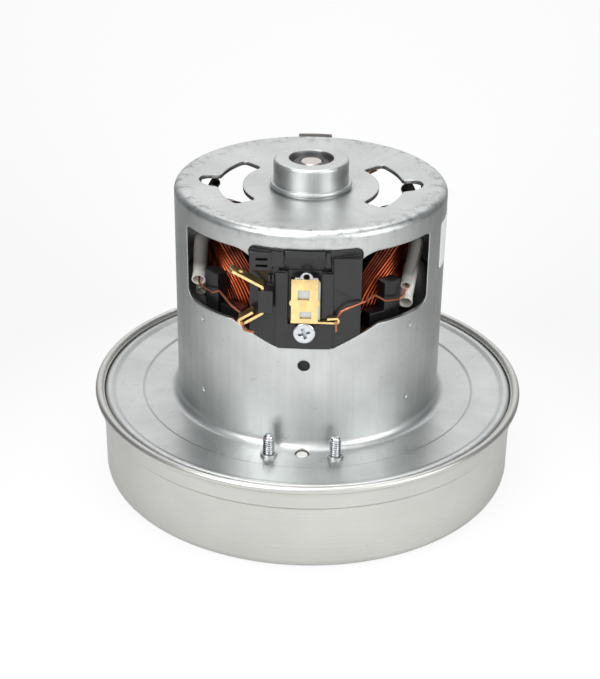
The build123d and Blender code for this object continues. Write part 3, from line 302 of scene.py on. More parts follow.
@dataclass(frozen=True)
class Finish:
    """Surface of a piece: one base colour that drifts, with grain in its roughness and relief.

    Attributes:
        name: material name.
        colour: linear base colour.
        metallic: 1 for metal.
        roughness: mean roughness.
        drift: share by which cloudy patches darken the colour.
        patch_mm: size of the cloudy patches.
        grain_mm: size of the fine grain.
        grain_stretch: how many times longer the grain is across the axis than along it.
        relief_mm: height of the fine grain.
        coat: clear coat weight.
        spots: share by which small dark marks darken the colour.
        rings: share by which fine rings round the axis vary the surface.
        drawn: share by which upright streaks vary the surface.
        edge_mm: width by which sharp edges look rounded.
        cavity: share of painted shade that darkens corners and recesses.
        cavity_mm: reach of that painted shade.
        scratches: share by which thin scratches vary the surface.
        stain: share of painted shade that darkens the top, where the can above shades it.
        stain_z: heights between which that painted shade grows.
    """

    name: str
    colour: Triple
    metallic: float = 0.0
    roughness: float = 0.5
    drift: float = 0.1
    patch_mm: float = 14.0
    grain_mm: float = 0.4
    grain_stretch: float = 1.0
    relief_mm: float = 0.004
    coat: float = 0.0
    spots: float = 0.0
    rings: float = 0.0
    drawn: float = 0.0
    edge_mm: float = 0.0
    cavity: float = 0.0
    cavity_mm: float = 1.6
    scratches: float = 0.0
    stain: float = 0.0
    stain_z: tuple[float, float] = (71.0, 77.0)

    def material(self) -> Material:
        """Build the material, or return it if it is there.

        Returns:
            The material.
        """
        known = bpy.data.materials.get(self.name)
        if known:
            return known
        made = bpy.data.materials.new(self.name)
        made.use_nodes = True
        graph = NodeGraph(made.node_tree)
        shader = made.node_tree.nodes["Principled BSDF"]
        place = graph.node("ShaderNodeTexCoord").outputs["Object"]
        patches = graph.noise(place, self.patch_mm, detail=4.0, roughness=0.55)
        scale = (1.0, 1.0, self.grain_stretch)
        stretched = graph.node("ShaderNodeMapping", None, Vector=place, Scale=scale).outputs[0]
        grain = graph.noise(stretched, self.grain_mm, detail=3.0)
        dark, light = shade(self.colour, 1 - self.drift), shade(self.colour, 1 + self.drift / 2)
        colour = graph.ramp(patches, zip(PATCH_STOPS, (dark, light)))
        if self.spots:
            marks = graph.noise(place, SPOT_MM, detail=2.0, roughness=0.7)
            mask = graph.math("MULTIPLY", graph.math("GREATER_THAN", marks, SPOT_LIMIT), self.spots)
            colour = graph.mix(mask, colour, shade(self.colour, SPOT_SHADE))
        colour = self._colour(graph, colour, place)
        # Painted shade: darker towards the top, where the can above shades the part
        if self.stain:
            colour = self._stained(graph, colour, place)
        wear = self._wear(graph, place)
        if wear is not None:
            colour = self._darker(graph, colour, wear)
        # Painted shade: ambient occlusion darkens corners, recesses and gaps between parts
        if self.cavity:
            near = graph.node("ShaderNodeAmbientOcclusion", {"samples": 6}, Distance=self.cavity_mm * MM)
            closed = graph.math("SUBTRACT", 1.0, near.outputs["AO"])
            colour = self._darker(graph, colour, graph.math("MULTIPLY", closed, self.cavity))
        made.node_tree.links.new(colour, shader.inputs["Base Color"])
        even, uneven = (share * self.roughness for share in (1 - UNEVEN, UNEVEN))
        rough = graph.math("MULTIPLY_ADD", graph.math("ADD", patches, grain), uneven, even)
        if wear is not None:
            rough = graph.math("MULTIPLY_ADD", wear, WEAR_ROUGHNESS, rough)
        made.node_tree.links.new(rough, shader.inputs["Roughness"])
        height = grain if wear is None else graph.math("ADD", grain, wear)
        bump = graph.node("ShaderNodeBump", None, Strength=1.0, Distance=self.relief_mm * MM, Height=height)
        if self.edge_mm:
            edge = graph.node("ShaderNodeBevel", {"samples": 4}, Radius=self.edge_mm * MM).outputs[0]
            made.node_tree.links.new(edge, bump.inputs["Normal"])
        made.node_tree.links.new(bump.outputs[0], shader.inputs["Normal"])
        shader.inputs["Metallic"].default_value = self.metallic
        shader.inputs["Coat Weight"].default_value = self.coat
        shader.inputs["Coat Roughness"].default_value = COAT_ROUGHNESS
        return made

    def _darker(self, graph: NodeGraph, colour: Colour, share: Value) -> NodeSocket:
        """Darken a colour by a share, from 0 for none to 1 for nearly black."""
        return graph.mix(share, colour, shade(self.colour, DARKEST))

    def _stained(self, graph: NodeGraph, colour: NodeSocket, place: NodeSocket) -> NodeSocket:
        """Paint shade onto a colour, darker towards the top.

        Args:
            graph: the material's graph.
            colour: colour so far.
            place: place on the piece.

        Returns:
            The new colour.
        """
        low, high = self.stain_z
        slope = 1 / (high - low)
        rise = graph.math("MULTIPLY_ADD", graph.split(place)[2], slope / MM, -low * slope)
        rise = graph.math("MAXIMUM", graph.math("MINIMUM", rise, 1.0), 0.0)
        return self._darker(graph, colour, graph.math("MULTIPLY", rise, self.stain))

    def _wear(self, graph: NodeGraph, place: NodeSocket) -> NodeSocket | None:
        """Add up the rings, upright streaks and scratches of a pressed sheet.

        Args:
            graph: the material's graph.
            place: place on the piece.

        Returns:
            Their sum, as a share from 0 up, or None for a finish without them.
        """
        x, y, z = graph.split(place)
        around = graph.math("MULTIPLY", graph.math("ARCTAN2", y, x), STREAK_R_MM * MM)
        marks = []
        for weight, first, second, size_mm in (
            (self.rings, graph.diagonal(x, y), z, RING_MM),
            (self.drawn, around, graph.math("MULTIPLY", z, STRETCH), STREAK_MM),
        ):
            if weight:
                spot = graph.node("ShaderNodeCombineXYZ", None, i0=first, i1=second).outputs[0]
                mark = graph.noise(spot, size_mm, detail=5.0, roughness=0.6)
                marks.append(graph.math("MULTIPLY", mark, weight))
        if self.scratches:
            for turn in SCRATCH_TURNS:
                rotation, scale = (turn, SCRATCH_TILT, turn), (1.0, STRETCH, 1.0)
                kind = "ShaderNodeMapping"
                slanted = graph.node(kind, None, Vector=place, Rotation=rotation, Scale=scale).outputs[0]
                mark = graph.noise(slanted, SCRATCH_MM, detail=1.0)
                thin = graph.math("GREATER_THAN", mark, SCRATCH_LIMIT)
                marks.append(graph.math("MULTIPLY", thin, self.scratches))
        total = None
        for mark in marks:
            total = mark if total is None else graph.math("ADD", total, mark)
        return total

    def _colour(self, graph: NodeGraph, colour: NodeSocket, place: NodeSocket) -> NodeSocket:
        """Change the base colour further; a plain finish leaves it."""
        return colour


@dataclass(frozen=True)
class Laminated(Finish):
    """Stacked sheets, as dark lines across the motor axis.

    Attributes:
        sheet_mm: thickness of one sheet.
        line_from: share of a sheet at which its line starts.
        line_shade: colour factor of a line.
    """

    sheet_mm: float = 0.5
    line_from: float = 0.8
    line_shade: float = 0.3

    def _colour(self, graph: NodeGraph, colour: NodeSocket, place: NodeSocket) -> NodeSocket:
        """Draw the sheets' edges as dark lines.

        Args:
            graph: the material's graph.
            colour: colour so far.
            place: place on the piece.

        Returns:
            The new colour.
        """
        sheets = graph.math("MULTIPLY", graph.split(place)[2], 1 / (self.sheet_mm * MM))
        line = graph.math("GREATER_THAN", graph.math("FRACT", sheets), self.line_from)
        return graph.mix(line, colour, shade(self.colour, self.line_shade))


@dataclass(frozen=True)
class Braided(Finish):
    """Glass fibre sleeving, two sets of crossing threads.

    Attributes:
        thread_mm: pitch of the threads.
        low_shade: colour factor between them.
    """

    thread_mm: float = 0.55
    low_shade: float = 0.62

    def _colour(self, graph: NodeGraph, colour: NodeSocket, place: NodeSocket) -> NodeSocket:
        """Weave the threads over the base colour.

        Args:
            graph: the material's graph.
            colour: colour so far.
            place: place on the piece.

        Returns:
            The new colour.
        """
        x, y, z = graph.split(place)
        across = graph.math("ADD", x, y)
        weave = []
        for sign in (1.0, -1.0):
            slant = graph.math("MULTIPLY_ADD", across, sign, z)
            weave.append(graph.math("SINE", graph.math("MULTIPLY", slant, 2 * pi / (self.thread_mm * MM))))
        both = graph.math("MULTIPLY_ADD", graph.math("MULTIPLY", *weave), 0.5, 0.5)
        return graph.mix(both, shade(self.colour, self.low_shade), colour)


@dataclass(frozen=True)
class Enamelled(Finish):
    """Enamelled wire, each wire given its own random share of painted highlight over a base in painted shade.

    Attributes:
        bright: painted highlight colour of the most lit wire.
        tone: name of the attribute that holds each wire's share of it.
    """

    bright: Triple = (0.85, 0.155, 0.035)
    tone: str = "wire_tone"

    def _colour(self, graph: NodeGraph, colour: NodeSocket, place: NodeSocket) -> NodeSocket:
        """Brighten the base colour by each wire's tone, as painted highlight.

        Args:
            graph: the material's graph.
            colour: colour so far.
            place: place on the piece; not used.

        Returns:
            The new colour.
        """
        share = graph.node("ShaderNodeAttribute", {"attribute_name": self.tone}).outputs["Fac"]
        return graph.mix(share, colour, self.bright)


@dataclass(frozen=True)
class Pressed(Finish):
    """Sheet that the press tool rubbed: grey smudges along a rounded corner.

    Attributes:
        corner: radius and height of the corner's circle.
        reach_mm: how far from the corner the smudges go.
        smudge: share by which they darken the colour.
        smudge_mm: size of the smudges.
        stops: noise at which a smudge starts and at which it is full.
    """

    corner: tuple[float, float] = (38.8, 95.6)
    reach_mm: float = 4.5
    smudge: float = 0.75
    smudge_mm: float = 3.2
    stops: tuple[float, float] = (0.50, 0.64)

    def _colour(self, graph: NodeGraph, colour: NodeSocket, place: NodeSocket) -> NodeSocket:
        """Darken the base colour in smudges along the corner.

        Args:
            graph: the material's graph.
            colour: colour so far.
            place: place on the piece.

        Returns:
            The new colour.
        """
        x, y, z = graph.split(place)
        out = graph.math("SUBTRACT", graph.diagonal(x, y), self.corner[0] * MM)
        above = graph.math("SUBTRACT", z, self.corner[1] * MM)
        away = graph.math("DIVIDE", graph.diagonal(out, above), self.reach_mm * MM)
        near = graph.math("MAXIMUM", graph.math("SUBTRACT", 1.0, away), 0.0)
        marks = graph.noise(place, self.smudge_mm, detail=7.0, roughness=0.72)
        patch = graph.ramp(marks, zip(self.stops, ((0.0, 0.0, 0.0), (1.0, 1.0, 1.0))))
        share = graph.math("MULTIPLY", graph.math("MULTIPLY", near, patch), self.smudge)
        return self._darker(graph, colour, share)


# Where a finish darkens its corners and recesses, that darkening is painted shade
GALVANISED = Pressed(
    "galvanised_sheet", (0.605, 0.622, 0.612), metallic=1.0, roughness=0.32, drift=0.12, patch_mm=17.0,
    grain_mm=0.9, relief_mm=0.006, spots=0.22, drawn=0.22, edge_mm=0.6, cavity=0.35, scratches=0.05,
)
SATIN_STEEL = Finish(
    "satin_sheet", (0.60, 0.595, 0.565), metallic=1.0, roughness=0.33, drift=0.08, patch_mm=22.0,
    grain_mm=0.35, relief_mm=0.003, rings=0.22, edge_mm=0.3, cavity=0.25, scratches=0.08,
)
BRIGHT_STEEL = Finish(
    "bearing_steel", (0.42, 0.42, 0.43), metallic=1.0, roughness=0.28, drift=0.06, patch_mm=3.0,
    edge_mm=0.15,
)
SHAFT_STEEL = Finish(
    "shaft_steel", (0.60, 0.56, 0.51), metallic=1.0, roughness=0.34, drift=0.12, patch_mm=2.0, edge_mm=0.2
)
# The upper bearing's outer ring is near black
DARK_RING = Finish("dark_bearing_ring", (0.022, 0.018, 0.017), roughness=0.34, drift=0.2, patch_mm=2.0, edge_mm=0.1)
DARK_STEEL = Finish(
    "dark_sheet", (0.20, 0.185, 0.175), metallic=0.9, roughness=0.5, drift=0.25, patch_mm=3.0
)
ZINC = Finish(
    "zinc_plate", (0.60, 0.62, 0.64), metallic=1.0, roughness=0.24, drift=0.16, patch_mm=1.2, grain_mm=0.25,
    edge_mm=0.15, cavity=0.9,
)
# Painted shade: the upper bearing's inner ring is near black, as it lies in shade down the boss
SHADED_RING_STEEL = Finish(
    "shaded_ring", (0.055, 0.052, 0.050), metallic=0.9, roughness=0.3, drift=0.2, patch_mm=2.0
)
# The core's colour is darkened to near black as painted shade inside the can
CORE_STEEL = Laminated(
    "core_laminations", (0.032, 0.032, 0.034), metallic=0.6, roughness=0.5, drift=0.2, patch_mm=5.0
)
ALUMINIUM = Finish(
    "impeller_sheet", (0.60, 0.61, 0.62), metallic=1.0, roughness=0.38, rings=0.15, edge_mm=0.2
)
BRASS = Finish(
    "brass_strip", (0.86, 0.64, 0.29), metallic=1.0, roughness=0.30, drift=0.18, patch_mm=3.0, grain_mm=0.3,
    grain_stretch=4.0, relief_mm=0.003, edge_mm=0.18, cavity=0.5,
)
BLACK_MOULDING = Finish(
    "black_moulding", (0.010, 0.010, 0.011), roughness=0.30, drift=0.22, patch_mm=6.0, grain_mm=0.25,
    relief_mm=0.008, edge_mm=0.38,
)
PALE_MOULDING = Finish(
    "pale_moulding", (0.62, 0.61, 0.57), roughness=0.5, drift=0.08, patch_mm=5.0, edge_mm=0.2
)
HUB_MOULDING = Finish("hub_moulding", (0.07, 0.02, 0.012), roughness=0.5, drift=0.2, patch_mm=3.0)
# The enamel's dark base colour is painted shade and its lit colour painted highlight; its darker top and the
# dark gaps between wires are painted shade too
ENAMEL = Enamelled(
    "enamelled_copper", (0.12, 0.011, 0.004), metallic=0.85, roughness=0.2, drift=0.3, patch_mm=4.0,
    grain_mm=0.6, relief_mm=0.004, coat=0.5, cavity=1.0, cavity_mm=0.6, stain=0.8, stain_z=(72.0, 86.0),
)
LEAD_COPPER = Finish(
    "lead_copper", (0.46, 0.14, 0.06), metallic=0.85, roughness=0.32, drift=0.35, patch_mm=1.6, coat=0.3
)
TURNED_COPPER = Finish(
    "turned_copper", (0.50, 0.22, 0.11), metallic=1.0, roughness=0.35, drift=0.3, grain_stretch=12.0
)
CARBON = Finish("carbon", (0.016, 0.016, 0.017), roughness=0.6, drift=0.3, patch_mm=1.0, edge_mm=0.2)
# The sleeving's darker top and darker recesses are painted shade
SLEEVING = Braided(
    "glass_sleeving", (0.93, 0.90, 0.82), roughness=0.8, drift=0.12, patch_mm=3.0, grain_mm=0.2,
    edge_mm=0.15, cavity=0.2, stain=1.0,
)
# Painted shade: a near-black filling that shows between the wires, where the wires below lie in shade
COIL_SHADE = Finish("coil_shade", (0.020, 0.004, 0.002), roughness=0.7, drift=0.3, patch_mm=2.0)
SPRING_STEEL = Finish("spring_steel", (0.5, 0.5, 0.5), metallic=1.0, roughness=0.3)
BARE_PLATE = Finish("bare_plate", (0.78, 0.78, 0.77), roughness=0.4, drift=0.04, patch_mm=9.0)


def tree_of(kind: str, lay: Callable[[NodeGraph, Sockets], None], inputs: dict[str, object]) -> NodeTree:
    """Geometry nodes tree of a kind, which is laid out when it isn't there yet.

    Args:
        kind: name of the tree.
        lay: function that lays out its nodes, given its graph and its inputs.
        inputs: what its inputs start with: whole numbers, numbers or a material.

    Returns:
        The tree.
    """
    known = bpy.data.node_groups.get(kind)
    if known:
        return known
    tree = bpy.data.node_groups.new(kind, "GeometryNodeTree")
    kinds = {int: "NodeSocketInt", float: "NodeSocketFloat", Material: "NodeSocketMaterial"}
    tree.interface.new_socket("Geometry", in_out="INPUT", socket_type="NodeSocketGeometry")
    for label, value in inputs.items():
        socket = tree.interface.new_socket(label, in_out="INPUT", socket_type=kinds[type(value)])
        socket.default_value = value
    tree.interface.new_socket("Geometry", in_out="OUTPUT", socket_type="NodeSocketGeometry")
    graph = NodeGraph(tree)
    lay(graph, graph.node("NodeGroupInput").outputs)
    return tree


def end_as_wire(graph: NodeGraph, source: Sockets, lines: Node, sides: int) -> None:
    """End a tree with round wire along its lines.

    Args:
        graph: the tree under construction.
        source: the tree's inputs, with Wire Radius and Finish.
        lines: node that gives the lines.
        sides: sides of the wire.
    """
    kind, radius = "GeometryNodeCurvePrimitiveCircle", source["Wire Radius"]
    profile = graph.node(kind, {"mode": "RADIUS"}, Resolution=sides, Radius=radius)
    curves = {"Curve": lines.outputs[0], "Profile_Curve": profile.outputs[0]}
    tube = graph.node("GeometryNodeCurveToMesh", None, **curves, Fill_Caps=True)
    smooth = graph.node("GeometryNodeSetShadeSmooth", None, Geometry=tube.outputs[0])
    real = graph.node("GeometryNodeRealizeInstances", None, Geometry=smooth.outputs[0])
    paint = source["Finish"]
    painted = graph.node("GeometryNodeSetMaterial", None, Geometry=real.outputs[0], Material=paint)
    graph.node("NodeGroupOutput", None, i0=painted.outputs[0])


def lay_smooth(graph: NodeGraph, source: Sockets) -> None:
    """Lay out the nodes that join a CAD mesh's facets and shade its gentle edges smooth.

    Args:
        graph: the tree under construction.
        source: its inputs.
    """
    merged = graph.node("GeometryNodeMergeByDistance", None, Geometry=source[0], Distance=WELD_MM * MM)
    angle = graph.node("GeometryNodeInputMeshEdgeAngle").outputs[0]
    less = {"data_type": "FLOAT", "operation": "LESS_THAN"}
    gentle = graph.node("FunctionNodeCompare", less, i0=angle, i1=source[1]).outputs[0]
    kind = "GeometryNodeSetShadeSmooth"
    faces = graph.node(kind, {"domain": "FACE"}, Geometry=merged.outputs[0], Shade_Smooth=True)
    edges = graph.node(kind, {"domain": "EDGE"}, Geometry=faces.outputs[0], Shade_Smooth=gentle)
    graph.node("NodeGroupOutput", None, i0=edges.outputs[0])


def dress(finishes: dict[str, Finish]) -> list[str]:
    """Give CAD nodes their finishes and smooth shading.

    Args:
        finishes: finish of each CAD node.

    Returns:
        Names of the nodes.
    """
    for node, finish in finishes.items():
        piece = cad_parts[node]
        piece.data.materials.clear()
        piece.data.materials.append(finish.material())
        modifier = piece.modifiers.new("smooth_facets", "NODES")
        modifier.node_group = tree_of("smooth_facets", lay_smooth, {"Smooth Angle": SMOOTH_BELOW})
    return list(finishes)


def place_mesh(name: str, mesh: Mesh, body: Body, nodes: Iterable[str] = ()) -> Object:
    """Put a finished mesh into the scene on a CAD body.

    Args:
        name: object name.
        mesh: its mesh, in the row frame.
        body: CAD body that it rides on.
        nodes: CAD nodes that it stands for.

    Returns:
        The object.
    """
    piece = bpy.data.objects.new(name, mesh)
    bpy.context.scene.collection.objects.link(piece)
    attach(piece, body.value)
    if nodes:
        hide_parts(*nodes)
    return piece


def run_tree(
    name: str, kind: str, lay: Callable[[NodeGraph, Sockets], None], values: dict[str, object]
) -> Mesh:
    """Run a geometry nodes tree on an empty mesh.

    Args:
        name: name of the mesh.
        kind: name of the tree.
        lay: function that lays out the tree's nodes when it isn't there yet.
        values: the tree's inputs by name.

    Returns:
        A plain mesh.
    """
    tree = tree_of(kind, lay, values)
    carrier = bpy.data.objects.new(name + "_carrier", bpy.data.meshes.new(name + "_carrier"))
    bpy.context.scene.collection.objects.link(carrier)
    modifier = carrier.modifiers.new("build", "NODES")
    modifier.node_group = tree
    for item in tree.interface.items_tree:
        if item.item_type == "SOCKET" and item.in_out == "INPUT" and item.name in values:
            modifier[item.identifier] = values[item.name]
    bpy.context.view_layer.update()
    graph = bpy.context.evaluated_depsgraph_get()
    mesh = bpy.data.meshes.new_from_object(carrier.evaluated_get(graph))
    mesh.name = name
    bpy.data.objects.remove(carrier, do_unlink=True)
    return mesh


def wire_tones(graph: NodeGraph, curves: Node, index: NodeSocket, seed: NodeSocket) -> Node:
    """Give each wire of a winding its own random tone of painted highlight, as an attribute.

    Args:
        graph: the geometry nodes tree.
        curves: node that gives the wires' middle lines.
        index: socket with each wire's number.
        seed: socket with the seed.

    Returns:
        The node that stores the tone.
    """
    tone = graph.math("POWER", graph.chance(0.0, index, seed), LIGHT_TONE_POWER)
    on_points = {"data_type": "FLOAT", "domain": "POINT"}
    kind = "GeometryNodeStoreNamedAttribute"
    return graph.node(kind, on_points, Geometry=curves.outputs[0], Name=ENAMEL.tone, Value=tone)


def join(name: str, meshes: Iterable[Mesh], finishes: Iterable[Finish]) -> Mesh:
    """Join meshes into one, each with its own finish.

    Args:
        name: name of the joined mesh.
        meshes: the meshes, which are used up.
        finishes: the finish of each.

    Returns:
        The joined mesh.
    """
    joined = bmesh.new()
    slots = []
    for mesh, finish in zip(meshes, finishes):
        start = len(joined.faces)
        joined.from_mesh(mesh)
        joined.faces.ensure_lookup_table()
        if finish not in slots:
            slots.append(finish)
        for index in range(start, len(joined.faces)):
            joined.faces[index].material_index = slots.index(finish)
            joined.faces[index].smooth = True
        bpy.data.meshes.remove(mesh)
    made = bpy.data.meshes.new(name)
    joined.to_mesh(made)
    joined.free()
    for finish in slots:
        made.materials.append(finish.material())
    return made


def at(radius: float, angle: float, height: float) -> Triple:
    """Point about the motor axis, in metres.

    Args:
        radius: distance from the axis in millimetres.
        angle: angle in radians.
        height: height in millimetres.

    Returns:
        The point.
    """
    return radius * cos(angle) * MM, radius * sin(angle) * MM, height * MM


def skin(name: str, rows: list[list[Triple]], ring: bool) -> Mesh:
    """Join rows of points, each of which closes on itself, into a closed mesh.

    Args:
        name: name of the mesh.
        rows: the rows, of which the first and the last may be a single point again and again.
        ring: whether the last row joins the first; otherwise both are closed by a face.

    Returns:
        The mesh, with its faces turned outwards.
    """
    made = bmesh.new()
    corners = []
    for row in rows:
        known = {point: made.verts.new(point) for point in dict.fromkeys(row)}
        corners.append([known[point] for point in row])
    faces = [] if ring else [corners[0], corners[-1]]
    for near, far in zip(corners, corners[1:] + corners[:1] if ring else corners[1:]):
        for step, corner in enumerate(near):
            after = (step + 1) % len(near)
            faces.append((corner, near[after], far[after], far[step]))
    for face in faces:
        edge = list(dict.fromkeys(face))
        if len(edge) > 2:
            made.faces.new(edge)
    bmesh.ops.recalc_face_normals(made, faces=made.faces)
    mesh = bpy.data.meshes.new(name)
    made.to_mesh(mesh)
    made.free()
    return mesh


def turned(name: str, profile: Sequence[tuple[float, float]], steps: int = 96) -> Mesh:
    """Turn a profile about the motor axis into a closed mesh.

    Args:
        name: name of the mesh.
        profile: outline as radius and height in millimetres, closed or starting and ending on the axis.
        steps: facets round the axis.

    Returns:
        The mesh.
    """
    angles = [2 * pi * step / steps for step in range(steps)]
    rows = [[at(radius, angle, height) for angle in angles] for radius, height in profile]
    return skin(name, rows, ring=profile[0][0] > 0)


def lay_helix(graph: NodeGraph, source: Sockets) -> None:
    """Lay out the nodes for a helix of round wire along Z.

    Args:
        graph: the tree under construction.
        source: its inputs.
    """
    radius = source["Mean Radius"]
    helix = graph.node(
        "GeometryNodeCurveSpiral", None, Resolution=HELIX_POINTS, Rotations=source["Turns"],
        Start_Radius=radius, End_Radius=radius, Height=source["Length"],
    )
    end_as_wire(graph, source, helix, WIRE_SIDES)


@dataclass
class FieldCoil:
    """One saddle shaped field coil, layer on layer of wire over a plain body in painted shade.

    Attributes:
        side: right or left.
        middle: angle of the pole in degrees.
        layer_r: radius of the outer layer's wire.
        wire_r: radius of the wire.
        turns: turns in a layer.
        layers: layers of wire, of which the middle ones have their outermost and innermost turns only.
        layer_pitch: distance between layers.
        waver: how far a wire strays.
        outer_angle: angle of the outermost leg from the pole.
        inner_angle: angle of the innermost leg.
        top_z: outermost and innermost arch tops.
        low_z: outermost and innermost arch bottoms.
        leg_z: lower and upper end of the straight legs.
        seed: seed of the outer layer's random draws.
    """

    side: str
    middle: float
    layer_r: float = 31.26
    wire_r: float = 0.36
    turns: int = 18
    layers: int = 12
    layer_pitch: float = 0.485
    waver: float = 0.06
    outer_angle: float = 62.64
    inner_angle: float = 23.66
    top_z: tuple[float, float] = (86.0, 65.1)
    low_z: tuple[float, float] = (27.24, 37.1)
    leg_z: tuple[float, float] = (46.0, 60.6)
    seed: int = 3

    def lay(self, graph: NodeGraph, source: Sockets) -> None:
        """Lay out the nodes for nested saddle loops on a cylinder.

        Args:
            graph: the tree under construction.
            source: its inputs.
        """
        kind = "GeometryNodeCurvePrimitiveCircle"
        ring = graph.node(kind, {"mode": "RADIUS"}, Resolution=TURN_POINTS, Radius=1.0).outputs[0]
        kind, each = "GeometryNodeDuplicateElements", {"domain": "SPLINE"}
        copies = graph.node(kind, each, Geometry=ring, Amount=source["Turns"])
        turn = copies.outputs[1]
        share = graph.math("DIVIDE", turn, graph.math("SUBTRACT", source["Turns"], 1.0))
        waver = graph.math("MULTIPLY", graph.chance(-1.0, turn, source["Seed"]), source["Waver"])
        across, up, _ = graph.split(graph.node("GeometryNodeInputPosition").outputs[0])
        leg_high, leg_low = source["Leg High"], source["Leg Low"]
        leg_angle = graph.between(source["Outer Angle"], source["Inner Angle"], share)
        top = graph.math("ADD", graph.between(source["Top High"], source["Top Low"], share), waver)
        low = graph.math("ADD", graph.between(source["Bottom Low"], source["Bottom High"], share), waver)
        rise = graph.math("MULTIPLY_ADD", up, graph.math("SUBTRACT", top, leg_high), leg_high)
        drop = graph.math("MULTIPLY_ADD", up, graph.math("SUBTRACT", leg_low, low), leg_low)
        height = graph.between(drop, rise, graph.math("GREATER_THAN", up, 0.0))
        angle = graph.math("MULTIPLY_ADD", across, leg_angle, source["Middle"])
        place = graph.around(graph.math("ADD", source["Layer Radius"], waver), angle, height)
        moved = graph.node("GeometryNodeSetPosition", None, Geometry=copies.outputs[0], Position=place)
        end_as_wire(graph, source, wire_tones(graph, moved, turn, source["Seed"]), WIRE_SIDES)

    def build(self) -> list[str]:
        """Build the two outer layers, then the others round a filling in painted shade.

        Returns:
            Names of the pieces.
        """
        names = [f"field_layers_{self.side}", f"field_coil_body_{self.side}"]
        outer = [self._layer(0, 0, self.turns - 1), self._layer(1, 0, self.turns - 1)]
        mesh = join(names[0], outer, [ENAMEL] * len(outer))
        place_mesh(names[0], mesh, Body.FRAME, (f"field_winding_{self.side}",))
        inner = [self._layer(self.layers - 1, 0, self.turns - 1)]
        for layer in range(2, self.layers - 1):
            odd = layer % 2
            inner.append(self._layer(layer, 0, 1 + odd))
            inner.append(self._layer(layer, self.turns - 2 - odd, self.turns - 1))
        finishes = [ENAMEL] * len(inner) + [COIL_SHADE]
        mesh = join(names[1], inner + [self._filling()], finishes)
        place_mesh(names[1], mesh, Body.FRAME, (f"field_coil_{self.side}",))
        return names

    def _at(self, first: float, last: float, turn: float) -> float:
        """Value at a turn, between those of the outermost and the innermost one."""
        return first + (last - first) * turn / (self.turns - 1)

    def _layer(self, layer: int, first: int, last: int) -> Mesh:
        """Wind some turns of one layer; odd layers lie half a turn further in and have a turn less.

        Args:
            layer: number of the layer, from 0 for the outer one.
            first: number of the first turn, from 0 for the outermost one.
            last: number of the last turn.

        Returns:
            Their mesh.
        """
        odd = layer % 2
        ends = (first + odd / 2, last - odd / 2)
        angles = [radians(self._at(self.outer_angle, self.inner_angle, turn)) for turn in ends]
        tops = [self._at(*self.top_z, turn) * MM for turn in ends]
        lows = [self._at(*self.low_z, turn) * MM for turn in ends]
        values = {
            "Turns": last - first + 1 - odd, "Layer Radius": (self.layer_r - layer * self.layer_pitch) * MM,
            "Wire Radius": self.wire_r * MM, "Outer Angle": angles[0], "Inner Angle": angles[1],
            "Middle": radians(self.middle), "Top High": tops[0], "Top Low": tops[1], "Bottom Low": lows[0],
            "Bottom High": lows[1], "Leg Low": self.leg_z[0] * MM, "Leg High": self.leg_z[1] * MM,
            "Waver": self.waver * MM, "Seed": self.seed + layer, "Finish": ENAMEL.material(),
        }
        return run_tree(f"field_layer_{self.side}_{layer}_{first}", "saddle_coil", self.lay, values)

    def _filling(self) -> Mesh:
        """Build the closed body just under the wires of every side, in painted shade.

        Returns:
            Its mesh.
        """
        steps = 96
        inset = 0.6
        outer_r = self.layer_r - 2 * self.layer_pitch
        inner_r = self.layer_r - (self.layers - 1.5) * self.layer_pitch
        first, last = inset, self.turns - 1 - inset
        leg_low, leg_high = self.leg_z
        loops = []
        for turn, radius in ((first, outer_r), (last, outer_r), (last, inner_r), (first, inner_r)):
            half = radians(self._at(self.outer_angle, self.inner_angle, turn))
            top = self._at(*self.top_z, turn)
            low = self._at(*self.low_z, turn)
            loop = []
            for step in range(steps):
                across, up = cos(2 * pi * step / steps), sin(2 * pi * step / steps)
                height = leg_high + up * (top - leg_high) if up > 0 else leg_low + up * (leg_low - low)
                loop.append(at(radius, radians(self.middle) + across * half, height))
            loops.append(loop)
        return skin(f"field_filling_{self.side}", loops, ring=True)


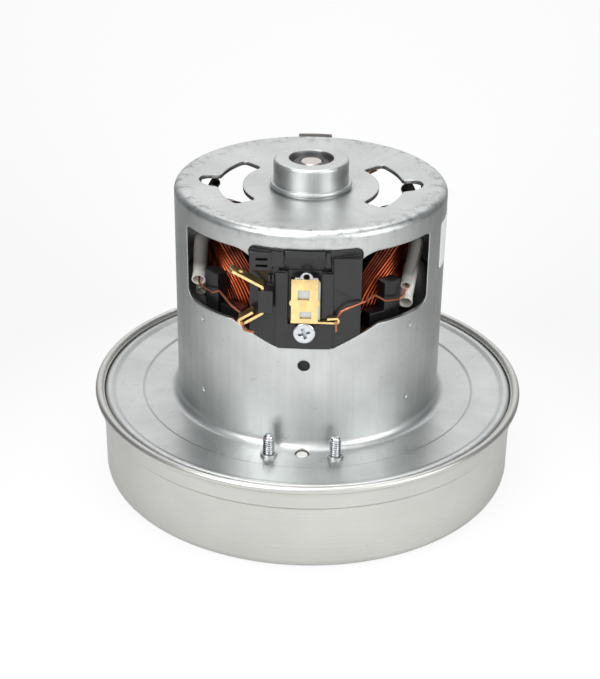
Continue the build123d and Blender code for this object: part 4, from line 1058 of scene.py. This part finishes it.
@dataclass
class ArmatureHead:
    """Winding head at one end of the armature: chords of wire laid over each other round the shaft.

    Attributes:
        word: upper or lower.
        face_z: end of the armature core.
        rise: height of the head, negative when it points down.
        slots: slots of the core.
        wires: wires of each coil that are wound one by one.
        chord_angle: angle that a coil spans.
        outer_r: radii of the wires where they leave a slot.
        inner_r: radius that the chords keep clear of the shaft.
        stray: how far a chord may lie outside that radius.
        bend: power of a chord's bend inwards, below 1 for one that turns in close to its slots.
        steep: power of its rise from the core, likewise.
        fullness: share of the rise that the lowest chords reach, and the highest ones would.
        wire_r: radius of the wire.
        seed: seed of the random draws.
        filling: outline of the body under the chords, as radius and share of the rise.
    """

    word: str
    face_z: float
    rise: float
    slots: int = 22
    wires: int = 7
    chord_angle: float = 158.0
    outer_r: tuple[float, float] = (13.4, 18.6)
    inner_r: float = 7.4
    stray: float = 4.5
    bend: float = 0.8
    steep: float = 0.35
    fullness: tuple[float, float] = (0.53, 0.95)
    wire_r: float = 0.3
    seed: int = 5
    filling: Levels = ((6.8, 0.05), (17.9, 0.05), (18.0, 0.4), (14.0, 0.62), (8.2, 0.62), (6.8, 0.4))

    def lay(self, graph: NodeGraph, source: Sockets) -> None:
        """Lay out the nodes for the chords.

        Args:
            graph: the tree under construction.
            source: its inputs.
        """
        line = graph.node("GeometryNodeCurvePrimitiveLine", None, i0=(0, 0, 0), i1=(1, 0, 0))
        kind = "GeometryNodeResampleCurve"
        chord = graph.node(kind, None, Curve=line.outputs[0], Count=CHORD_POINTS).outputs[0]
        amount = graph.math("MULTIPLY", source["Slots"], source["Wires"])
        kind, each = "GeometryNodeDuplicateElements", {"domain": "SPLINE"}
        copies = graph.node(kind, each, Geometry=chord, Amount=amount)
        index = copies.outputs[1]
        share = graph.split(graph.node("GeometryNodeInputPosition").outputs[0])[0]
        slot = graph.math("FLOOR", graph.math("DIVIDE", index, source["Wires"]))
        wire = graph.math("FLOORED_MODULO", index, source["Wires"])
        layer = graph.math("DIVIDE", wire, source["Wires"])
        start = graph.math("MULTIPLY", graph.math("DIVIDE", slot, source["Slots"]), 2 * pi)
        angle = graph.math("MULTIPLY_ADD", share, source["Chord Angle"], start)
        bow = graph.math("SINE", graph.math("MULTIPLY", share, pi))
        at_slot = graph.between(source["Slot Low"], source["Slot High"], layer)
        chance = graph.chance(0.0, index, source["Seed"])
        inward = graph.math("MULTIPLY_ADD", chance, self.stray * MM, source["Inner Radius"])
        radius = graph.between(at_slot, inward, graph.math("POWER", bow, self.bend))
        low, high = self.fullness
        full = graph.math("MULTIPLY_ADD", layer, high - low, low)
        lift = graph.math("MULTIPLY", graph.math("POWER", bow, self.steep), full)
        height = graph.math("MULTIPLY_ADD", lift, source["Rise"], source["Face"])
        place = graph.around(radius, angle, height)
        moved = graph.node("GeometryNodeSetPosition", None, Geometry=copies.outputs[0], Position=place)
        end_as_wire(graph, source, wire_tones(graph, moved, index, source["Seed"]), CHORD_SIDES)

    def build(self) -> list[str]:
        """Build the chords over a filling in painted shade.

        Returns:
            Name of the piece.
        """
        room = self.rise - self.wire_r * (1 if self.rise > 0 else -1)
        values = {
            "Slots": self.slots, "Wires": self.wires, "Chord Angle": radians(self.chord_angle),
            "Slot Low": self.outer_r[0] * MM, "Slot High": self.outer_r[1] * MM,
            "Inner Radius": self.inner_r * MM, "Wire Radius": self.wire_r * MM, "Face": self.face_z * MM,
            "Rise": room * MM, "Seed": self.seed, "Finish": ENAMEL.material(),
        }
        name = f"armature_head_{self.word}"
        chords = run_tree(name + "_chords", "chord_winding", self.lay, values)
        outline = [(radius, self.face_z + share * self.rise) for radius, share in self.filling]
        filling = turned(name + "_filling", outline)
        mesh = join(name, (chords, filling), (ENAMEL, COIL_SHADE))
        place_mesh(name, mesh, Body.ROTOR, (f"{self.word}_armature_winding",))
        return [name]


@dataclass
class FlangeScrews:
    """The four screws whose threaded tips stand through the flange.

    Attributes:
        across: half the distance between the screws from left to right.
        along: half the distance from front to rear.
        head_z: underside of the heads.
        head_h: height of a head.
        head_r: radius of a head.
        tip_z: top of the tips.
        thread_z: height where the thread starts to show.
        thread_r: outer radius of the thread.
        pitch: rise of the thread in a turn.
        ridge_r: radius of the thread's ridge.
        core_r: radius inside the thread.
        head_edge: width and height of the head's slanted edge.
        tip_edge: width and height of the tip's.
        step: height over which the shank narrows to the core.
        bare: how far the thread ends below the tip.
    """

    across: float = 9.75
    along: float = 45.4
    head_z: float = 16.25
    head_h: float = 1.9
    head_r: float = 3.2
    tip_z: float = 33.8
    thread_z: float = 27.4
    thread_r: float = 1.74
    pitch: float = 0.72
    ridge_r: float = 0.2
    core_r: float = 1.48
    head_edge: tuple[float, float] = (0.3, 0.4)
    tip_edge: tuple[float, float] = (0.4, 0.5)
    step: float = 0.2
    bare: float = 0.6

    def build(self) -> list[str]:
        """Build the screws.

        Returns:
            Name of the piece.
        """
        name = "flange_screws"
        top_z = self.head_z + self.head_h
        outline = (
            (0, self.head_z), (self.head_r - self.head_edge[0], self.head_z),
            (self.head_r, self.head_z + self.head_edge[1]), (self.head_r, top_z), (self.thread_r, top_z),
            (self.thread_r, self.thread_z - self.step), (self.core_r, self.thread_z),
            (self.core_r, self.tip_z - self.tip_edge[1]), (self.core_r - self.tip_edge[0], self.tip_z),
            (0, self.tip_z),
        )
        length = self.tip_z - self.bare - self.thread_z
        pieces = []
        for x in (-self.across, self.across):
            for y in (-self.along, self.along):
                body = turned("screw_body", outline, steps=40)
                values = {
                    "Turns": length / self.pitch, "Mean Radius": (self.thread_r - self.ridge_r) * MM,
                    "Wire Radius": self.ridge_r * MM, "Length": length * MM, "Finish": ZINC.material(),
                }
                thread = run_tree("screw_thread", "coil_spring", lay_helix, values)
                thread.transform(Matrix.Translation((0, 0, self.thread_z * MM)))
                for mesh in (body, thread):
                    mesh.transform(Matrix.Translation((x * MM, y * MM, 0)))
                    pieces.append(mesh)
        mesh = join(name, pieces, [ZINC] * len(pieces))
        place_mesh(name, mesh, Body.FRAME, ("diffuser_screws",))
        return [name]


@dataclass
class BrushSpring:
    """Coil spring behind a carbon brush.

    Attributes:
        end: end of the brush gear.
        mean_r: radius of the wire's middle.
        wire_r: radius of the wire.
        turns: number of turns.
        height_z: height of the spring's middle.
        reach: inner and outer end along the radius.
        seat_r: where its outer end rests; not used.
        keep: share of its length at the brush's limit; not used.
    """

    end: End
    mean_r: float = 2.3
    wire_r: float = 0.28
    turns: float = 9.0
    height_z: float = 75.5
    reach: tuple[float, float] = (30.35, 41.15)
    seat_r: float = 41.45
    keep: float = 0.56

    def build(self) -> list[str]:
        """Build the spring.

        Returns:
            Name of the piece.
        """
        name = f"{self.end.word}_spring_coil"
        values = {
            "Turns": self.turns, "Mean Radius": self.mean_r * MM, "Wire Radius": self.wire_r * MM,
            "Length": (self.reach[1] - self.reach[0]) * MM, "Finish": SPRING_STEEL.material(),
        }
        mesh = run_tree(name, "coil_spring", lay_helix, values)
        sign = self.end.side
        foot = Matrix.Translation((0, sign * self.reach[0] * MM, self.height_z * MM))
        mesh.transform(foot @ Matrix.Rotation(-sign * pi / 2, 4, "X"))
        piece = place_mesh(name, mesh, Body.FRAME, (f"{self.end.word}_brush_spring",))
        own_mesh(piece)
        return [name]


@dataclass
class BarePlate:
    """Plain white plate on the can's side, where the photograph shows the edge of one.

    Attributes:
        can_r: outer radius of the can.
        gap: distance of the plate from it.
        thick: outer side of the plate, from the can.
        turns: angles of its two ends.
        heights: its lower and upper edge.
        round_r: rounding of its corners.
    """

    can_r: float = 41.14
    gap: float = 0.01
    thick: float = 0.12
    turns: tuple[float, float] = (-19.0, 34.0)
    heights: tuple[float, float] = (74.0, 88.8)
    round_r: float = 1.2

    def build(self) -> list[str]:
        """Build the plate.

        Returns:
            Name of the piece.
        """
        name = "bare_plate"
        steps = 48
        inside, outside = self.can_r + self.gap, self.can_r + self.thick
        columns = []
        reach = radians(self.turns[1] - self.turns[0]) * self.can_r
        for step in range(steps + 1):
            place = reach * step / steps
            over = max(0.0, self.round_r - min(place, reach - place))
            inset = self.round_r - (self.round_r**2 - over**2) ** 0.5
            angle = radians(self.turns[0]) + place / self.can_r
            low, high = self.heights[0] + inset, self.heights[1] - inset
            corners = ((inside, low), (outside, low), (outside, high), (inside, high))
            columns.append([at(radius, angle, height) for radius, height in corners])
        mesh = skin(name, columns, ring=False)
        mesh.materials.append(BARE_PLATE.material())
        place_mesh(name, mesh, Body.FRAME)
        return [name]


@dataclass
class Casing:
    """Pressed steel shells, the bearings' outer rings, and what is fixed to the shells.

    Attributes:
        finishes: finish of each CAD node.
        screws: the screws through the flange.
        plate: the bare plate on the can.
    """

    finishes: dict[str, Finish] = field(
        default_factory=lambda: {
            "fan_cover": SATIN_STEEL, "motor_housing": GALVANISED, "earth_tab": DARK_STEEL,
            "bearing_bracket": GALVANISED, "diffuser": PALE_MOULDING, "upper_bearing_outer_ring": DARK_RING,
            "lower_bearing_outer_ring": BRIGHT_STEEL, "upper_bearing_sleeve": BLACK_MOULDING,
        }
    )
    screws: FlangeScrews = field(default_factory=FlangeScrews)
    plate: BarePlate = field(default_factory=BarePlate)

    def build(self) -> list[str]:
        """Dress the CAD nodes and build the screws and the plate.

        Returns:
            Names of the pieces.
        """
        return dress(self.finishes) + self.screws.build() + self.plate.build()


@dataclass
class Rotor:
    """Shaft, armature, commutator and fan.

    Attributes:
        finishes: finish of each CAD node.
        heads: the winding heads at both ends of the armature.
    """

    finishes: dict[str, Finish] = field(
        default_factory=lambda: {
            "shaft": SHAFT_STEEL, "armature_core": CORE_STEEL, "commutator_hub": HUB_MOULDING,
            "commutator_bars": TURNED_COPPER, "upper_bearing_inner_ring": SHADED_RING_STEEL,
            "lower_bearing_inner_ring": BRIGHT_STEEL, "impeller_back_plate": ALUMINIUM,
            "impeller_front_plate": ALUMINIUM, "impeller_blades": ALUMINIUM, "impeller_spacer": ZINC,
            "impeller_washer": ZINC, "impeller_nut": ZINC,
        }
    )
    heads: tuple[ArmatureHead, ...] = (ArmatureHead("upper", 61.2, 6.4), ArmatureHead("lower", 39.8, -8.0))

    def build(self) -> list[str]:
        """Dress the CAD nodes and wind the armature's heads.

        Returns:
            Names of the pieces.
        """
        names = dress(self.finishes)
        for head in self.heads:
            names += head.build()
        return names


@dataclass
class Stator:
    """Field core, coils and end insulators.

    Attributes:
        finishes: finish of each CAD node.
        coils: the coils of both poles.
    """

    finishes: dict[str, Finish] = field(
        default_factory=lambda: {
            "stator_core": CORE_STEEL, "upper_end_insulator": BLACK_MOULDING,
            "lower_end_insulator": BLACK_MOULDING,
        }
    )
    coils: tuple[FieldCoil, ...] = (FieldCoil("right", 0.0), FieldCoil("left", 180.0))

    def build(self) -> list[str]:
        """Dress the CAD nodes and wind both coils.

        Returns:
            Names of the pieces.
        """
        names = dress(self.finishes)
        for coil in self.coils:
            names += coil.build()
        return names


@dataclass
class BrushGear:
    """Holder, tube, clip, brush, spring, terminal, screw, sleeves and leads of one end.

    Attributes:
        end: end of the brush gear.
        finishes: finish of each CAD node, without the word for the end.
    """

    end: End
    finishes: dict[str, Finish] = field(
        default_factory=lambda: {
            "brush_holder": BLACK_MOULDING, "brush_tube": BRASS, "brush_tube_clip": GALVANISED,
            "carbon_brush": CARBON, "power_terminal": BRASS, "holder_screw": ZINC, "left_sleeve": SLEEVING,
            "left_short_sleeve": SLEEVING, "right_sleeve": SLEEVING, "right_short_sleeve": SLEEVING,
            "left_lead": LEAD_COPPER, "right_lead": LEAD_COPPER,
        }
    )

    def build(self) -> list[str]:
        """Dress the CAD nodes of this end and build the spring.

        Returns:
            Names of the pieces.
        """
        finishes = {f"{self.end.word}_{node}": finish for node, finish in self.finishes.items()}
        return dress(finishes) + BrushSpring(self.end).build()


@dataclass
class Studio:
    """Floor, lights and camera of the photograph.

    Attributes:
        camera_turn: the camera's turn about the motor axis, in degrees.
        elevation: how far above the horizon it stands, in degrees.
        roll: its turn about the line of sight, in degrees.
        distance_mm: its distance from the target.
        target_mm: point that it looks at.
        lens_mm: focal length.
        picture: width and height of the picture.
        surround: levels of light round the object, from the front at 0 to the rear at 1.
        blue: factor of blue in the surroundings.
        cool: how much bluer their darkest part is.
        floor_half: half the side of the floor in metres.
        floor_gap_mm: how far the floor lies below the object.
        floor_roughness: roughness of the floor.
        floor_glow: share of plain white in the floor as the camera sees it.
        floor_near: levels of the floor close to the object, as for the surroundings.
        floor_near_mm: radii between which the near levels pass into the far ones.
        floor_far: levels of the floor further out.
        lit_mm: point that the lamps face.
        lamps: name, place, energy and size of each lamp.
    """

    camera_turn: float = 2.0
    elevation: float = 27.012
    roll: float = 0.842
    distance_mm: float = 472.327
    target_mm: Triple = (-2.624, 0.0, 42.265)
    lens_mm: float = 79.05
    picture: tuple[int, int] = (600, 679)
    surround: Levels = ((0.0, 1.0), (0.2, 0.8), (0.36, 0.10), (0.7, 0.16), (0.86, 1.0), (1.0, 1.1))
    blue: float = 1.01
    cool: float = 0.10
    floor_half: float = 3.0
    floor_gap_mm: float = 0.2
    floor_roughness: float = 0.9
    floor_glow: float = 0.9
    floor_near: Levels = ((0.0, 0.78), (0.25, 0.74), (0.45, 0.60), (0.65, 0.50), (1.0, 0.60))
    floor_near_mm: tuple[float, float] = (90.0, 135.0)
    floor_far: Levels = (
        (0.0, 0.80), (0.2, 0.78), (0.42, 0.42), (0.6, 0.22), (0.78, 0.22), (0.92, 0.55), (1.0, 0.62)
    )
    lit_mm: Triple = (0.0, 0.0, 50.0)
    lamps: tuple[tuple[str, Triple, float, float], ...] = (
        ("key_light", (-0.55, -0.75, 0.95), 11.0, 0.7),
        ("fill_light", (0.85, -0.55, 0.55), 6.5, 0.8),
        ("top_light", (0.0, 0.15, 1.25), 9.0, 1.0),
    )

    def build(self) -> None:
        """Build the floor, the lights, the surroundings and the camera."""
        self._floor()
        self._surroundings()
        self._lights()
        self._camera()

    def _floor(self) -> None:
        """Lay the floor, which looks nearly white and gives the object its darker reflections."""
        mesh = bpy.data.meshes.new("floor")
        half = self.floor_half
        corners = [(-half, -half, 0), (half, -half, 0), (half, half, 0), (-half, half, 0)]
        mesh.from_pydata(corners, [], [(0, 1, 2, 3)])
        floor = bpy.data.objects.new("floor", mesh)
        floor.location.z = -self.floor_gap_mm * MM
        bpy.context.scene.collection.objects.link(floor)
        made = bpy.data.materials.new("pale_floor")
        made.use_nodes = True
        graph = NodeGraph(made.node_tree)
        shader = made.node_tree.nodes["Principled BSDF"]
        x, y, _ = graph.split(graph.node("ShaderNodeTexCoord").outputs["Object"])
        turn = self._half_turn(graph, x, y)
        near, far = (
            graph.ramp(turn, [(share, (level,) * 3) for share, level in levels])
            for levels in (self.floor_near, self.floor_far)
        )
        start, end = (edge * MM for edge in self.floor_near_mm)
        radius = graph.diagonal(x, y)
        away = graph.node("ShaderNodeMapRange", None, Value=radius, From_Min=start, From_Max=end).outputs[0]
        made.node_tree.links.new(graph.mix(away, near, far), shader.inputs["Base Color"])
        shader.inputs["Roughness"].default_value = self.floor_roughness
        glow = graph.node("ShaderNodeEmission", None, Color=(1, 1, 1, 1), Strength=1.0)
        seen = graph.node("ShaderNodeLightPath").outputs["Is Camera Ray"]
        part = graph.math("MULTIPLY", seen, self.floor_glow)
        mixed = graph.node("ShaderNodeMixShader", None, i0=part, i1=shader.outputs[0], i2=glow.outputs[0])
        made.node_tree.links.new(mixed.outputs[0], made.node_tree.nodes["Material Output"].inputs[0])
        mesh.materials.append(made)

    def _surroundings(self) -> None:
        """Light the world by its levels, and keep it white where the camera sees it."""
        world = bpy.data.worlds.new("studio")
        bpy.context.scene.world = world
        world.use_nodes = True
        graph = NodeGraph(world.node_tree)
        seen = graph.node("ShaderNodeLightPath").outputs["Is Camera Ray"]
        background = world.node_tree.nodes["Background"]
        x, y, _ = graph.split(graph.node("ShaderNodeTexCoord").outputs["Generated"])
        grey = []
        for share, level in self.surround:
            cool = self.cool * max(0.0, 1.0 - level)
            grey.append((share, (level * (1.0 - cool), level, level * (self.blue + cool))))
        tone = graph.ramp(self._half_turn(graph, x, y), grey)
        world.node_tree.links.new(graph.mix(seen, tone, (1.0, 1.0, 1.0)), background.inputs["Color"])

    def _half_turn(self, graph: NodeGraph, x: NodeSocket, y: NodeSocket) -> NodeSocket:
        """Angle from the front as a share of half a turn, the same to the left and to the right."""
        turn = graph.math("ABSOLUTE", graph.math("ARCTAN2", x, graph.math("MULTIPLY", y, -1.0)))
        return graph.math("DIVIDE", turn, pi)

    def _lights(self) -> None:
        """Hang the lamps and aim them at the object."""
        for name, place, energy, size in self.lamps:
            data = bpy.data.lights.new(name, "AREA")
            data.energy = energy
            data.size = size
            lamp = bpy.data.objects.new(name, data)
            lamp.location = place
            aim = Vector(self.lit_mm) * MM - Vector(place)
            lamp.rotation_euler = aim.to_track_quat("-Z", "Y").to_euler()
            bpy.context.scene.collection.objects.link(lamp)

    def _camera(self) -> None:
        """Place the camera where the photograph was taken."""
        data = bpy.data.cameras.new("camera")
        data.lens = self.lens_mm
        data.clip_start = 0.01
        data.clip_end = 20.0
        camera = bpy.data.objects.new("camera", data)
        bpy.context.scene.collection.objects.link(camera)
        tilt = radians(self.elevation)
        turn = Matrix.Rotation(radians(self.camera_turn), 4, "Z")
        back = Vector((0, -cos(tilt), sin(tilt))) * self.distance_mm * MM
        place = turn @ (Vector(self.target_mm) * MM + back)
        aim = turn @ Matrix.Rotation(pi / 2 - tilt, 4, "X") @ Matrix.Rotation(radians(self.roll), 4, "Z")
        camera.matrix_world = Matrix.Translation(place) @ aim
        scene = bpy.context.scene
        scene.camera = camera
        scene.render.resolution_x, scene.render.resolution_y = self.picture
        scene.view_settings.view_transform = "Standard"


def main() -> None:
    """Build everything in order and report each piece."""
    logging.basicConfig(level=logging.INFO)
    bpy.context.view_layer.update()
    for assembly in (Casing(), Rotor(), Stator(), BrushGear(End.FRONT), BrushGear(End.REAR)):
        for name in assembly.build():
            LOG.info("%s: %s", type(assembly).__name__, name)
    Studio().build()


if __name__ == "__main__":
    main()
